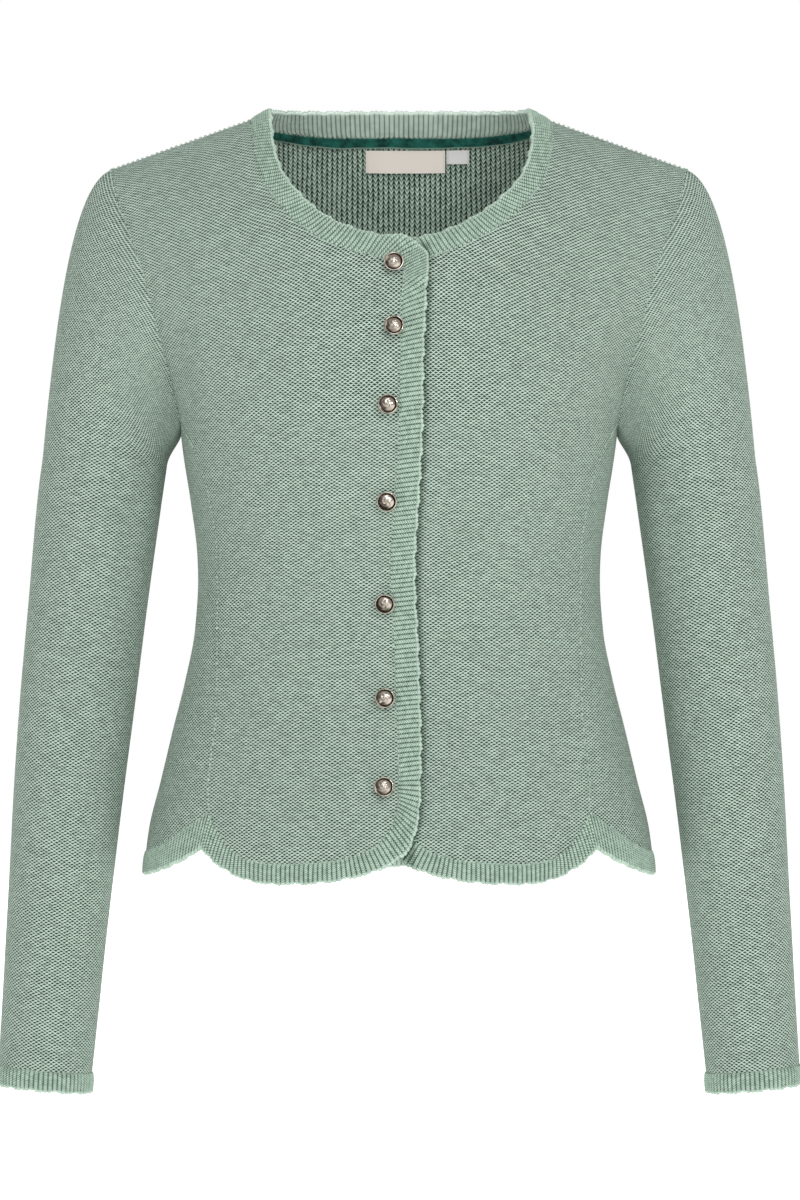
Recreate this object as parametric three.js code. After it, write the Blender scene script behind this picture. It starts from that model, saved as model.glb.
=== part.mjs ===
import * as THREE from 'three';

// A fitted knitted jacket with scalloped hem lobes, worn form with no wearer, in millimetres.
// +Z is up, the fronts face -Y, and the wearer's right is -X.
// The origin lies between the shoulders, level with the seam at the side of the neck.

// Knitted cloth and how its pieces meet
const WALL = 2.2;
const SEAM_GAP = 0.3;
const RIB_RISE = 0.8;
const RIB_PITCH = 4.5;
const LAP_DROP = WALL + RIB_RISE + 0.6;

// Levels of the body: the height of a row of knitting at the side of the garment
const ARM_LEVEL = -198;
const NOTCH_LEVEL = -447;
const ARMPIT_DIP = 7;
const ARMPIT_REACH = 60;
const HEM_CURVE_LEVEL = -330;

// Shoulder line seen from the front, and how far the surface climbs towards the neck
const NECK_HALF = 96;
const SHOULDER_HALF = 187;
const SHOULDER_SLOPE = 0.357;
const NECK_CLIMB = 38;
const SQUARENESS = 2.3;

// Body sections below the armpit: half width, depth of the front and depth of the back
const BODY = [
  { level: -198, half: 142.5, front: 118, back: 100 },
  { level: -218, half: 140, front: 118.5, back: 98 },
  { level: -250, half: 135, front: 116, back: 93 },
  { level: -283, half: 131, front: 105, back: 86 },
  { level: -299, half: 130.5, front: 100, back: 83.5 },
  { level: -331, half: 132.5, front: 95.5, back: 82 },
  { level: -364, half: 138.8, front: 95.5, back: 87 },
  { level: -396, half: 146.8, front: 100, back: 95.5 },
  { level: -429, half: 154.7, front: 107, back: 104.5 },
  { level: -461, half: 162.5, front: 113.5, back: 113 },
  { level: -487, half: 165.5, front: 117, back: 118 },
  { level: -500, half: 166.5, front: 118, back: 120 },
];

// Armhole seam above the armpit: its half width, and how far round the section it lies
const ARMHOLE = [
  { level: 0, half: 187, round: 0.5 },
  { level: -24, half: 182.5, round: 0.55 },
  { level: -49, half: 175.5, round: 0.56 },
  { level: -73, half: 168.5, round: 0.56 },
  { level: -105, half: 160.5, round: 0.52 },
  { level: -135, half: 155, round: 0.44 },
  { level: -165, half: 148.5, round: 0.33 },
  { level: -198, half: 140.9, round: 0.21 },
];

// Seam between a front (or the back) and the side panel, seen from the front
const SIDE_SEAM = [
  { level: -198, x: 140.9 },
  { level: -222, x: 128.5 },
  { level: -250, x: 120.5 },
  { level: -283, x: 116.5 },
  { level: -345, x: 116.3 },
  { level: -384, x: 116.8 },
  { level: -410, x: 119.8 },
  { level: -432, x: 121.5 },
  { level: -447, x: 121 },
];

// Rows of each front: the seam of its rib trim and the trim's free edge, both seen from the front,
// and the level where the row meets the side seam or the armhole
const FRONT_ROWS = [
  { seamX: -3.4, seamZ: -453, freeX: 7.8, freeZ: -467.5, level: -447 },
  { seamX: -0.5, seamZ: -441.4, freeX: 12.7, freeZ: -449, level: -436 },
  { seamX: -0.3, seamZ: -427, freeX: 13.9, freeZ: -427, level: -422 },
  { seamX: -1.3, seamZ: -402.6, freeX: 14.3, freeZ: -402.6, level: -399 },
  { seamX: -2.1, seamZ: -371, freeX: 13.5, freeZ: -371, level: -369 },
  { seamX: -3.2, seamZ: -338.5, freeX: 12.4, freeZ: -338.5, level: -338 },
  { seamX: -5.1, seamZ: -306, freeX: 10.7, freeZ: -306, level: -306 },
  { seamX: -5.3, seamZ: -281, freeX: 10.7, freeZ: -281, level: -280 },
  { seamX: -2.9, seamZ: -252, freeX: 12.6, freeZ: -252, level: -251 },
  { seamX: -1.4, seamZ: -227.6, freeX: 14.1, freeZ: -227.6, level: -225 },
  { seamX: -0.4, seamZ: -201.4, freeX: 15.2, freeZ: -201.4, level: -198 },
  { seamX: 0.4, seamZ: -176, freeX: 15.6, freeZ: -176, level: -173 },
  { seamX: 1, seamZ: -152, freeX: 16, freeZ: -152, level: -150 },
  { seamX: 0.6, seamZ: -130, freeX: 17.2, freeZ: -130, level: -128 },
  { seamX: 2, seamZ: -112, freeX: 17.8, freeZ: -112, level: -109 },
  { seamX: 1.5, seamZ: -98.5, freeX: 17.4, freeZ: -90.5, level: -92 },
  { seamX: -4.9, seamZ: -96, freeX: 7.8, freeZ: -81, level: -76 },
  { seamX: -15.6, seamZ: -93.5, freeX: -11.2, freeZ: -79, level: -61 },
  { seamX: -33.3, seamZ: -88.7, freeX: -28.7, freeZ: -74.5, level: -46 },
  { seamX: -54.5, seamZ: -79, freeX: -46.7, freeZ: -66, level: -32 },
  { seamX: -74, seamZ: -62, freeX: -62.7, freeZ: -52, level: -20 },
  { seamX: -87, seamZ: -43.5, freeX: -74.5, freeZ: -36.5, level: -10.5 },
  { seamX: -93.5, seamZ: -20, freeX: -81, freeZ: -15, level: -3.5 },
  { seamX: -96, seamZ: 0, freeX: -83.4, freeZ: 7.2, level: 0 },
];

// The wearer's left neckline sits a little wider in the wear: extra width by height
const LEFT_NECK_EASE = [
  { z: -83, x: 0 },
  { z: -66, x: 2.5 },
  { z: -40, x: 5 },
  { z: -12, x: 4.5 },
  { z: 8, x: 0 },
];

// Free tip of the notch between two hem lobes, seen from the front
const NOTCH_TIP = { x: 126.6, z: -469.8 };

// Hem lobe of each front, from the side notch to the centre: rib seam and free edge
const FRONT_LOBE = [
  { seamX: -121, seamZ: -447, freeX: -NOTCH_TIP.x, freeZ: NOTCH_TIP.z },
  { seamX: -116.5, seamZ: -457.8, freeX: -121.9, freeZ: -475 },
  { seamX: -109.4, seamZ: -467.4, freeX: -113.3, freeZ: -482 },
  { seamX: -99.9, seamZ: -475, freeX: -100.4, freeZ: -488.3 },
  { seamX: -85.7, seamZ: -478.6, freeX: -85.7, freeZ: -491.7 },
  { seamX: -68.1, seamZ: -478.8, freeX: -68.1, freeZ: -492 },
  { seamX: -48.6, seamZ: -477.5, freeX: -48.6, freeZ: -490.8 },
  { seamX: -33, seamZ: -475, freeX: -31.1, freeZ: -488 },
  { seamX: -19.4, seamZ: -470.2, freeX: -13.6, freeZ: -483 },
  { seamX: -9.7, seamZ: -463, freeX: -0.5, freeZ: -476.2 },
  { seamX: -3.4, seamZ: -453, freeX: 7.8, freeZ: -467.5 },
];

// Side and back lobes: how far the seam and the free edge hang below the notch
const SIDE_LOBE = { columns: 6, seamDrop: 29, freeDrop: 42.5 };
const BACK_LOBE = { columns: 16, seamDrop: 30, freeDrop: 43.5 };

// Back neckline: seam of the standing rib and its free edge at the centre back, and how far down
// the back its rows still bend with the neck
const BACK_NECK = { seamZ: -6, freeZ: 9.5, columns: 8, shoulderColumns: 4, reach: 120 };

// Sleeve sections: inner and outer edge seen from the front, half depth, and middle in depth
const SLEEVE = [
  { z: -222, inner: 151, outer: 231.5, halfDepth: 43, middle: 2 },
  { z: -250, inner: 155, outer: 235, halfDepth: 42, middle: 1 },
  { z: -315, inner: 163.8, outer: 240.5, halfDepth: 40.5, middle: -2 },
  { z: -380, inner: 171.8, outer: 246, halfDepth: 39, middle: -6 },
  { z: -442, inner: 179.6, outer: 250, halfDepth: 37, middle: -10 },
  { z: -485, inner: 184.6, outer: 252, halfDepth: 35.5, middle: -13 },
  { z: -533, inner: 190, outer: 254.5, halfDepth: 34, middle: -16 },
  { z: -572, inner: 194, outer: 256.5, halfDepth: 33, middle: -18 },
  { z: -614.5, inner: 198.5, outer: 259, halfDepth: 32, middle: -20 },
];
const SLEEVE_LEAN = 0.09;
const SLEEVE_HEAD_STEPS = [0.1, 0.22, 0.36, 0.52, 0.68, 0.84];
const CUFF_DEPTH = 13;
const ARMHOLE_GAP = 0.35;

// Soft folds in the body: a trough between two places seen from the front
const FOLDS = [
  { x1: 150, z1: -118, x2: 137, z2: -190, depth: 3, width: 10, front: true },
  { x1: 146, z1: -120, x2: 134, z2: -188, depth: 3.5, width: 11, front: false },
  { x1: 112, z1: -292, x2: 70, z2: -322, depth: 1.8, width: 12, front: true },
  { x1: 104, z1: -300, x2: 40, z2: -318, depth: 3, width: 13, front: false },
];

// Neck tape, label and size tab, inside the back neck
const TAPE = { width: 7.5, thickness: 1, lift: 0.7, endShare: 0.42 };
const LABEL = { left: -22, right: 30.5, top: -15.5, height: 14.3, columns: 6, thickness: 0.8 };
const SIZE_TAB = { left: 31.4, right: 46.4, top: -15.5, height: 8.5, columns: 2, thickness: 0.8 };
const LABEL_LIFT = 0.3;

// Domed shank buttons at the closing edge, from the neck down
const BUTTON = { radius: 6.5, rim: 1.5, dome: 3.6, shankRadius: 2.2, shankLength: 2.6, sides: 12 };
const BUTTON_LIFT = 0.5;
const BUTTONS = [
  { x: -3.2, z: -98.7 },
  { x: -3.1, z: -139.3 },
  { x: -6.9, z: -188.9 },
  { x: -7.6, z: -249.5 },
  { x: -8.9, z: -313.9 },
  { x: -8.9, z: -374.8 },
  { x: -9.5, z: -430.9 },
];

const knit = (name) => {
  return new THREE.MeshStandardMaterial({ name, color: 0x95a79a, roughness: 0.95, metalness: 0 });
};
const KNIT = knit('knitted cotton, purl side');
const RIB = knit('rib trim');
RIB.color.set(0x9baca0);
const VELVET = new THREE.MeshStandardMaterial({ name: 'velvet tape', color: 0x234740, roughness: 1 });
const WOVEN = new THREE.MeshStandardMaterial({ name: 'woven label', color: 0xe1d8ce, roughness: 0.8 });
const TAB = new THREE.MeshStandardMaterial({ name: 'woven tab', color: 0xf2f2ee, roughness: 0.8 });
const METAL = new THREE.MeshStandardMaterial({
  name: 'aged silver metal', color: 0x8d8678, roughness: 0.35, metalness: 1,
});

const { clamp, lerp, smoothstep } = THREE.MathUtils;
const vec = (x, y, z) => new THREE.Vector3(x, y, z);
const mix = (a, b, share) => a.clone().lerp(b, share);

// A value of a table's column at a key, on a smooth curve that never overshoots its rows
function along(table, key, at, column) {
  const rows = [...table].sort((a, b) => a[key] - b[key]);
  const last = rows.length - 1;
  if (at <= rows[0][key]) return rows[0][column];
  if (at >= rows[last][key]) return rows[last][column];
  const i = rows.findIndex((row, k) => k < last && at < rows[k + 1][key]);
  const slope = (k) => (rows[k + 1][column] - rows[k][column]) / (rows[k + 1][key] - rows[k][key]);
  const tangent = (k) => {
    if (k === 0) return slope(0);
    if (k === last) return slope(last - 1);
    const before = slope(k - 1);
    const after = slope(k);
    return before * after <= 0 ? 0 : (2 * before * after) / (before + after);
  };
  const step = rows[i + 1][key] - rows[i][key];
  const t = (at - rows[i][key]) / step;
  return rows[i][column] * (1 + 2 * t) * (1 - t) ** 2 + rows[i + 1][column] * t * t * (3 - 2 * t)
    + step * t * (1 - t) * ((1 - t) * tangent(i) - t * tangent(i + 1));
}

// Height of the shoulder line at a distance from the middle
function shoulderZ(x) {
  const reach = Math.abs(x);
  if (reach >= NECK_HALF) return -SHOULDER_SLOPE * (reach - NECK_HALF);
  return NECK_CLIMB * (1 - (reach / NECK_HALF) ** 1.5);
}

// Half width and depth of the section at a level, above or below the armpit
function sectionAt(level) {
  if (level <= ARM_LEVEL) {
    return {
      half: along(BODY, 'level', level, 'half'),
      front: along(BODY, 'level', level, 'front'),
      back: along(BODY, 'level', level, 'back'),
    };
  }
  const drop = clamp(level / ARM_LEVEL, 0, 1);
  const swell = 1 - (1 - drop) ** 1.5;
  const round = along(ARMHOLE, 'level', level, 'round');
  const seam = along(ARMHOLE, 'level', level, 'half');
  return {
    half: seam / (1 - round ** SQUARENESS) ** (1 / SQUARENESS),
    front: BODY[0].front * swell ** 0.7,
    back: BODY[0].back * swell ** 0.42,
  };
}

// A place on the garment's outer surface. Turn is 0 at the centre front, a quarter turn at the
// +X side and a half turn at the centre back.
function rawPlace(turn, level) {
  const { half, front, back } = sectionAt(level);
  const sine = Math.sin(turn);
  const cosine = Math.cos(turn);
  const radius = (Math.abs(sine) ** SQUARENESS + Math.abs(cosine) ** SQUARENESS) ** (-1 / SQUARENESS);
  const x = half * radius * sine;
  const y = -(cosine > 0 ? front : back) * radius * cosine;
  const top = shoulderZ(x);
  const z = level <= ARM_LEVEL ? level : top - (level / ARM_LEVEL) * (top - ARM_LEVEL);
  return vec(x, y, z);
}

// How deep the soft folds push the surface in at a place
function foldDepth(place, onFront) {
  const at = vec(Math.abs(place.x), place.z, 0);
  let depth = 0;
  for (const fold of FOLDS.filter((one) => one.front === onFront)) {
    const line = new THREE.Line3(vec(fold.x1, fold.z1, 0), vec(fold.x2, fold.z2, 0));
    const share = line.closestPointToPointParameter(at, true);
    const away = line.at(share, vec(0, 0, 0)).distanceTo(at);
    const taper = Math.sin(Math.PI * clamp(share, 0.08, 0.92));
    depth += fold.depth * taper * Math.exp(-((away / fold.width) ** 2));
  }
  return depth;
}

function rawNormal(turn, level) {
  if (level > -0.2) {
    const x = rawPlace(turn, 0).x;
    const slope = (shoulderZ(x + 0.1) - shoulderZ(x - 0.1)) / 0.2;
    return vec(-slope, 0, 1).normalize();
  }
  const step = Math.min(0.5, -level / 4);
  const across = rawPlace(turn + 0.002, level).sub(rawPlace(turn - 0.002, level));
  const up = rawPlace(turn, level + step).sub(rawPlace(turn, level - step));
  return across.cross(up).normalize();
}

// A point of the outer surface with its outward normal. The under front drops behind the other
// where they lap, and comes level again beside it.
function place(turn, level, under = false) {
  const at = rawPlace(turn, level);
  const normal = rawNormal(turn, level);
  const onFront = Math.cos(turn) > 0;
  let drop = foldDepth(at, onFront);
  if (under && onFront) drop += LAP_DROP * (1 - smoothstep(at.x, 22, 52));
  return { at: at.addScaledVector(normal, -drop), normal };
}

// The turn and level of a place seen from the front (or from the back)
function locate(x, z, onFront = true) {
  const top = shoulderZ(x);
  const level = z <= ARM_LEVEL ? z : clamp(ARM_LEVEL * (top - z) / (top - ARM_LEVEL), ARM_LEVEL, 0);
  const share = clamp(x / sectionAt(level).half, -1, 1);
  const rest = (1 - Math.abs(share) ** SQUARENESS) ** (1 / SQUARENESS);
  const turn = Math.atan2(share, rest);
  return { turn: onFront ? turn : Math.PI - turn, level };
}

// The turn of the side seam or armhole at a level, on the +X side of the front
function seamTurn(level) {
  const x = level > ARM_LEVEL ? along(ARMHOLE, 'level', level, 'half')
    : along(SIDE_SEAM, 'level', level, 'x');
  const share = clamp(x / sectionAt(level).half, 0, 1);
  return Math.atan2(share, (1 - share ** SQUARENESS) ** (1 / SQUARENESS));
}

// Closed solid from its corners and faces, turned so that its faces point out
function solid(corners, faces) {
  let volume = 0;
  for (const [a, b, c] of faces) {
    volume += corners[a].dot(corners[b].clone().cross(corners[c]));
  }
  const order = volume < 0 ? ([a, b, c]) => [a, c, b] : (face) => face;
  const geometry = new THREE.BufferGeometry();
  geometry.setAttribute('position', new THREE.Float32BufferAttribute(
    corners.flatMap((corner) => corner.toArray()), 3));
  geometry.setIndex(faces.flatMap(order));
  geometry.computeVertexNormals();
  return geometry;
}

// Cloth wall on a grid of { at, normal }, with its thickness on the inner side. A closed grid
// is a tube: its last column joins its first. Edge faces are split the same way on every piece,
// so that two pieces lie evenly apart along their seam.
function clothWall(grid, thickness = WALL, closed = false, lift = 0) {
  const rows = grid.length;
  const columns = grid[0].length;
  const corners = [];
  for (const row of grid) {
    for (const { at, normal } of row) {
      corners.push(at.clone().addScaledVector(normal, lift));
      corners.push(at.clone().addScaledVector(normal, lift - thickness));
    }
  }
  const outer = (r, c) => 2 * (r * columns + (c % columns));
  const inner = (r, c) => outer(r, c) + 1;
  const faces = [];
  const quad = (a, b, c, d) => faces.push([a, b, c], [a, c, d]);
  const spans = closed ? columns : columns - 1;
  for (let r = 0; r < rows - 1; r += 1) {
    for (let c = 0; c < spans; c += 1) {
      quad(outer(r, c), outer(r, c + 1), outer(r + 1, c + 1), outer(r + 1, c));
      quad(inner(r, c), inner(r + 1, c), inner(r + 1, c + 1), inner(r, c + 1));
    }
    if (!closed) {
      quad(outer(r + 1, 0), inner(r + 1, 0), inner(r, 0), outer(r, 0));
      quad(outer(r + 1, spans), outer(r, spans), inner(r, spans), inner(r + 1, spans));
    }
  }
  for (let c = 0; c < spans; c += 1) {
    quad(inner(0, c), inner(0, c + 1), outer(0, c + 1), outer(0, c));
    quad(inner(rows - 1, c), outer(rows - 1, c), outer(rows - 1, c + 1), inner(rows - 1, c + 1));
  }
  return solid(corners, faces);
}

// Pull a grid's edges in by half the seam gap, so that neighbours lie apart
function easeEdges(grid, sides) {
  const rows = grid.length;
  const columns = grid[0].length;
  const pull = (from, towards) => {
    const way = towards.at.clone().sub(from.at).normalize();
    return { at: from.at.clone().addScaledVector(way, SEAM_GAP / 2), normal: from.normal };
  };
  let eased = grid.map((row) => [...row]);
  if (sides.includes('bottom')) eased[0] = grid[0].map((p, c) => pull(p, grid[1][c]));
  if (sides.includes('top')) {
    eased[rows - 1] = grid[rows - 1].map((p, c) => pull(p, grid[rows - 2][c]));
  }
  const level = eased;
  eased = level.map((row) => [...row]);
  for (let r = 0; r < rows; r += 1) {
    if (sides.includes('left')) eased[r][0] = pull(level[r][0], level[r][1]);
    if (sides.includes('right')) {
      eased[r][columns - 1] = pull(level[r][columns - 1], level[r][columns - 2]);
    }
  }
  return eased;
}

// Rib strip between a seam and a free edge, given at stations along its length. Each rib is a
// ridge across the strip, raised in the outer side only, and the inner side is plain.
function ribStrip(stations, { closed = false, pitch = RIB_PITCH } = {}) {
  const corners = [];
  const faces = [];
  const add = (point) => corners.push(point) - 1;
  const raised = (edge, height) => edge.at.clone().addScaledVector(edge.normal, height);
  const valley = ({ seam, free }) => ({ seam: add(raised(seam, 0)), free: add(raised(free, 0)) });
  const blend = (a, b, share) => ({ at: mix(a.at, b.at, share), normal: mix(a.normal, b.normal, share) });
  const posts = stations.map((station) => ({
    outer: valley(station),
    inner: { seam: add(raised(station.seam, -WALL)), free: add(raised(station.free, -WALL)) },
  }));
  const last = closed ? stations.length : stations.length - 1;
  for (let i = 0; i < last; i += 1) {
    const next = (i + 1) % stations.length;
    const from = stations[i];
    const to = stations[next];
    const length = (from.seam.at.distanceTo(to.seam.at) + from.free.at.distanceTo(to.free.at)) / 2;
    const ribs = Math.max(1, Math.round(length / pitch));
    const low = [posts[i].outer];
    for (let k = 0; k < ribs; k += 1) {
      const middle = { seam: blend(from.seam, to.seam, (k + 0.5) / ribs),
        free: blend(from.free, to.free, (k + 0.5) / ribs) };
      const end = { seam: blend(from.seam, to.seam, (k + 1) / ribs),
        free: blend(from.free, to.free, (k + 1) / ribs) };
      const crest = { seam: add(raised(middle.seam, RIB_RISE)), free: add(raised(middle.free, RIB_RISE)) };
      const foot = k === ribs - 1 ? posts[next].outer : valley(end);
      const start = low[k];
      low.push(foot);
      faces.push([start.seam, crest.seam, crest.free], [start.seam, crest.free, start.free]);
      faces.push([crest.seam, foot.seam, foot.free], [crest.seam, foot.free, crest.free]);
      faces.push([start.seam, foot.seam, crest.seam], [foot.free, start.free, crest.free]);
    }
    const a = posts[i].inner;
    const b = posts[next].inner;
    for (let k = 0; k < ribs; k += 1) {
      faces.push([a.seam, low[k + 1].seam, low[k].seam], [a.free, low[k].free, low[k + 1].free]);
    }
    faces.push([a.seam, b.seam, low[ribs].seam], [b.free, a.free, low[ribs].free]);
    faces.push([a.seam, a.free, b.free], [a.seam, b.free, b.seam]);
  }
  if (!closed) {
    const end = posts[posts.length - 1];
    const { outer, inner } = posts[0];
    faces.push([inner.seam, outer.seam, outer.free], [inner.seam, outer.free, inner.free]);
    faces.push([end.outer.seam, end.inner.seam, end.inner.free]);
    faces.push([end.outer.seam, end.inner.free, end.outer.free]);
  }
  return solid(corners, faces);
}

// Leave half the seam gap at a strip's seam and at its two ends
function easeStrip(stations, endsToo = true) {
  const half = SEAM_GAP / 2;
  const eased = stations.map(({ seam, free }) => {
    const way = free.at.clone().sub(seam.at).normalize();
    return { seam: { at: seam.at.clone().addScaledVector(way, half), normal: seam.normal }, free };
  });
  if (!endsToo) return eased;
  const pull = (from, towards) => {
    const way = towards.at.clone().sub(from.at).normalize();
    return { at: from.at.clone().addScaledVector(way, half), normal: from.normal };
  };
  const shorten = (end, next) => ({
    seam: pull(eased[end].seam, eased[next].seam), free: pull(eased[end].free, eased[next].free),
  });
  const last = eased.length - 1;
  const ends = [shorten(0, 1), shorten(last, last - 1)];
  eased[0] = ends[0];
  eased[last] = ends[1];
  return eased;
}

// Where a row of a front lies, with the wearer's left front mirrored and its neckline eased out
function frontSpot(x, z, under) {
  const ease = z > LEFT_NECK_EASE[0].z && x < -10 ? along(LEFT_NECK_EASE, 'z', z, 'x') : 0;
  return under ? locate(ease - x, z) : locate(x, z);
}

// How much a row of knitting follows the curve of the hem
function hemFade(level) {
  return clamp((HEM_CURVE_LEVEL - level) / (HEM_CURVE_LEVEL - NOTCH_LEVEL), 0, 1) ** 1.5;
}

// Front panel: rows from the hem to the shoulder, columns from the side to the closing edge
const FRONT_COLUMNS = FRONT_LOBE.length - 1;
function frontGrid(under) {
  const hand = under ? 1 : -1;
  const hem = FRONT_LOBE.map((row) => frontSpot(row.seamX, row.seamZ, under));
  return FRONT_ROWS.map((row) => {
    const inner = frontSpot(row.seamX, row.seamZ, under);
    const outer = { turn: hand * seamTurn(row.level), level: row.level };
    const fade = hemFade(row.level);
    return hem.map((spot, c) => {
      const share = c / FRONT_COLUMNS;
      const hemTurn = spot.turn - lerp(hem[0].turn, hem[FRONT_COLUMNS].turn, share);
      const hemLevel = spot.level - lerp(hem[0].level, hem[FRONT_COLUMNS].level, share);
      const turn = lerp(outer.turn, inner.turn, share) + fade * hemTurn;
      const level = lerp(outer.level, inner.level, share) + fade * hemLevel;
      return place(turn, level, under);
    });
  });
}

// Rib trim of a front: along its hem lobe, up the closing edge and round the neckline
function frontTrim(under) {
  const spotOf = (x, z) => {
    const spot = frontSpot(x, z, under);
    return place(spot.turn, spot.level, under);
  };
  const rows = [...FRONT_LOBE.slice(0, -1), ...FRONT_ROWS];
  return rows.map((row) => ({ seam: spotOf(row.seamX, row.seamZ), free: spotOf(row.freeX, row.freeZ) }));
}

// Side panel levels and columns, from the front side seam round to the back one
const SIDE_LEVELS = FRONT_ROWS.filter((row) => row.level <= ARM_LEVEL).map((row) => row.level);
const lobe = (share) => 1 - Math.abs(2 * share - 1) ** 2.6;
function sideGrid() {
  return SIDE_LEVELS.map((level) => {
    const front = seamTurn(level);
    const fade = hemFade(level);
    const dip = clamp((level - ARM_LEVEL + ARMPIT_REACH) / ARMPIT_REACH, 0, 1);
    return Array.from({ length: SIDE_LOBE.columns + 1 }, (_, c) => {
      const share = c / SIDE_LOBE.columns;
      const hem = fade * SIDE_LOBE.seamDrop * lobe(share);
      const armpit = dip * ARMPIT_DIP * Math.sin(Math.PI * share);
      return place(lerp(front, Math.PI - front, share), level - hem - armpit);
    });
  });
}

// Back panel: rows as on the fronts, columns from the -X side to the +X side
const BACK_COLUMNS = BACK_NECK.columns + 2 * BACK_NECK.shoulderColumns;
const backNeckLevel = (x, middle) => {
  const share = Math.abs(x) / NECK_HALF;
  if (share >= 1) return 0;
  const z = lerp(middle, middle - 1.5, share);
  const fall = ARM_LEVEL * (shoulderZ(x) - z) / (shoulderZ(x) - ARM_LEVEL);
  return fall * Math.sqrt(1 - share ** 5);
};
function backTop(column) {
  const outer = column < BACK_NECK.shoulderColumns || column > BACK_COLUMNS - BACK_NECK.shoulderColumns;
  const middle = BACK_COLUMNS / 2;
  const hand = Math.sign(column - middle);
  const steps = Math.abs(column - middle);
  const neckSteps = BACK_NECK.columns / 2;
  const x = outer
    ? lerp(NECK_HALF, SHOULDER_HALF, (steps - neckSteps) / BACK_NECK.shoulderColumns)
    : NECK_HALF * Math.sin((Math.PI / 2) * (steps / neckSteps) ** 1.15);
  const level = outer ? 0 : backNeckLevel(x, BACK_NECK.seamZ);
  const half = sectionAt(level).half;
  const share = clamp(x / half, 0, 1);
  const turn = Math.atan2(share, (1 - share ** SQUARENESS) ** (1 / SQUARENESS));
  return { turn: hand * turn, level, x: hand * x };
}
const backTurn = (turn) => Math.PI - turn;
function backGrid() {
  return FRONT_ROWS.map(({ level }) => {
    const side = seamTurn(level);
    const fade = hemFade(level);
    const rise = clamp(1 + level / BACK_NECK.reach, 0, 1) ** 1.3;
    return Array.from({ length: BACK_COLUMNS + 1 }, (_, c) => {
      const share = c / BACK_COLUMNS;
      const top = backTop(c);
      const evenTop = lerp(-seamTurn(0), seamTurn(0), share);
      const turn = lerp(-side, side, share) + rise * (top.turn - evenTop);
      const hem = fade * BACK_LOBE.seamDrop * lobe(share);
      return place(backTurn(turn), level + rise * top.level - hem);
    });
  });
}

// Rib strip under a panel's hem row, hanging by its width and fanned out at the notches
function hemStrip(firstTurn, lastTurn, size) {
  const lean = locate(NOTCH_TIP.x, NOTCH_TIP.z).turn - seamTurn(NOTCH_LEVEL);
  return Array.from({ length: size.columns + 1 }, (_, c) => {
    const share = c / size.columns;
    const turn = lerp(firstTurn, lastTurn, share);
    const seamLevel = NOTCH_LEVEL - size.seamDrop * lobe(share);
    const freeDrop = lerp(NOTCH_LEVEL - NOTCH_TIP.z, size.freeDrop, lobe(share) ** 0.8);
    const freeTurn = turn + lean * (1 - lobe(share)) * Math.sign(0.5 - share);
    return { seam: place(turn, seamLevel), free: place(freeTurn, NOTCH_LEVEL - freeDrop) };
  });
}

// Standing rib at the back of the neck
function backNeckStrip() {
  const first = BACK_NECK.shoulderColumns;
  const end = FRONT_ROWS[FRONT_ROWS.length - 1];
  const reach = Math.abs(end.freeX);
  return Array.from({ length: BACK_NECK.columns + 1 }, (_, k) => {
    const top = backTop(first + k);
    const seam = place(backTurn(top.turn), top.level);
    const atEnd = k === 0 || k === BACK_NECK.columns;
    const hand = Math.sign(top.x);
    const x = atEnd ? hand * reach : (top.x * reach) / NECK_HALF;
    const z = atEnd ? end.freeZ : lerp(BACK_NECK.freeZ, end.freeZ, (Math.abs(x) / reach) ** 2);
    const spot = locate(x, z, false);
    return { seam, free: place(spot.turn, spot.level) };
  });
}

// Ring of the armhole on the +X side: down the front, under the arm and up the back
const ARM_ROWS = FRONT_ROWS.filter((row) => row.level >= ARM_LEVEL).map((row) => row.level);
function armholeRing() {
  const down = [...ARM_ROWS].reverse();
  const front = down.map((level) => place(seamTurn(level), level));
  const under = sideGrid()[SIDE_LEVELS.length - 1].slice(1, -1);
  const back = ARM_ROWS.map((level) => place(Math.PI - seamTurn(level), level));
  return [...front, ...under, ...back.slice(0, -1)];
}

// Section of the sleeve at a height, as a ring that leans with the arm
function sleeveRing(z, angles) {
  const inner = along(SLEEVE, 'z', z, 'inner');
  const outer = along(SLEEVE, 'z', z, 'outer');
  const halfDepth = along(SLEEVE, 'z', z, 'halfDepth');
  const middle = along(SLEEVE, 'z', z, 'middle');
  const halfWidth = (outer - inner) / 2;
  return angles.map((angle) => {
    const across = halfWidth * Math.cos(angle);
    return vec((inner + outer) / 2 + across, middle - halfDepth * Math.sin(angle),
      z + SLEEVE_LEAN * across);
  });
}

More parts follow.
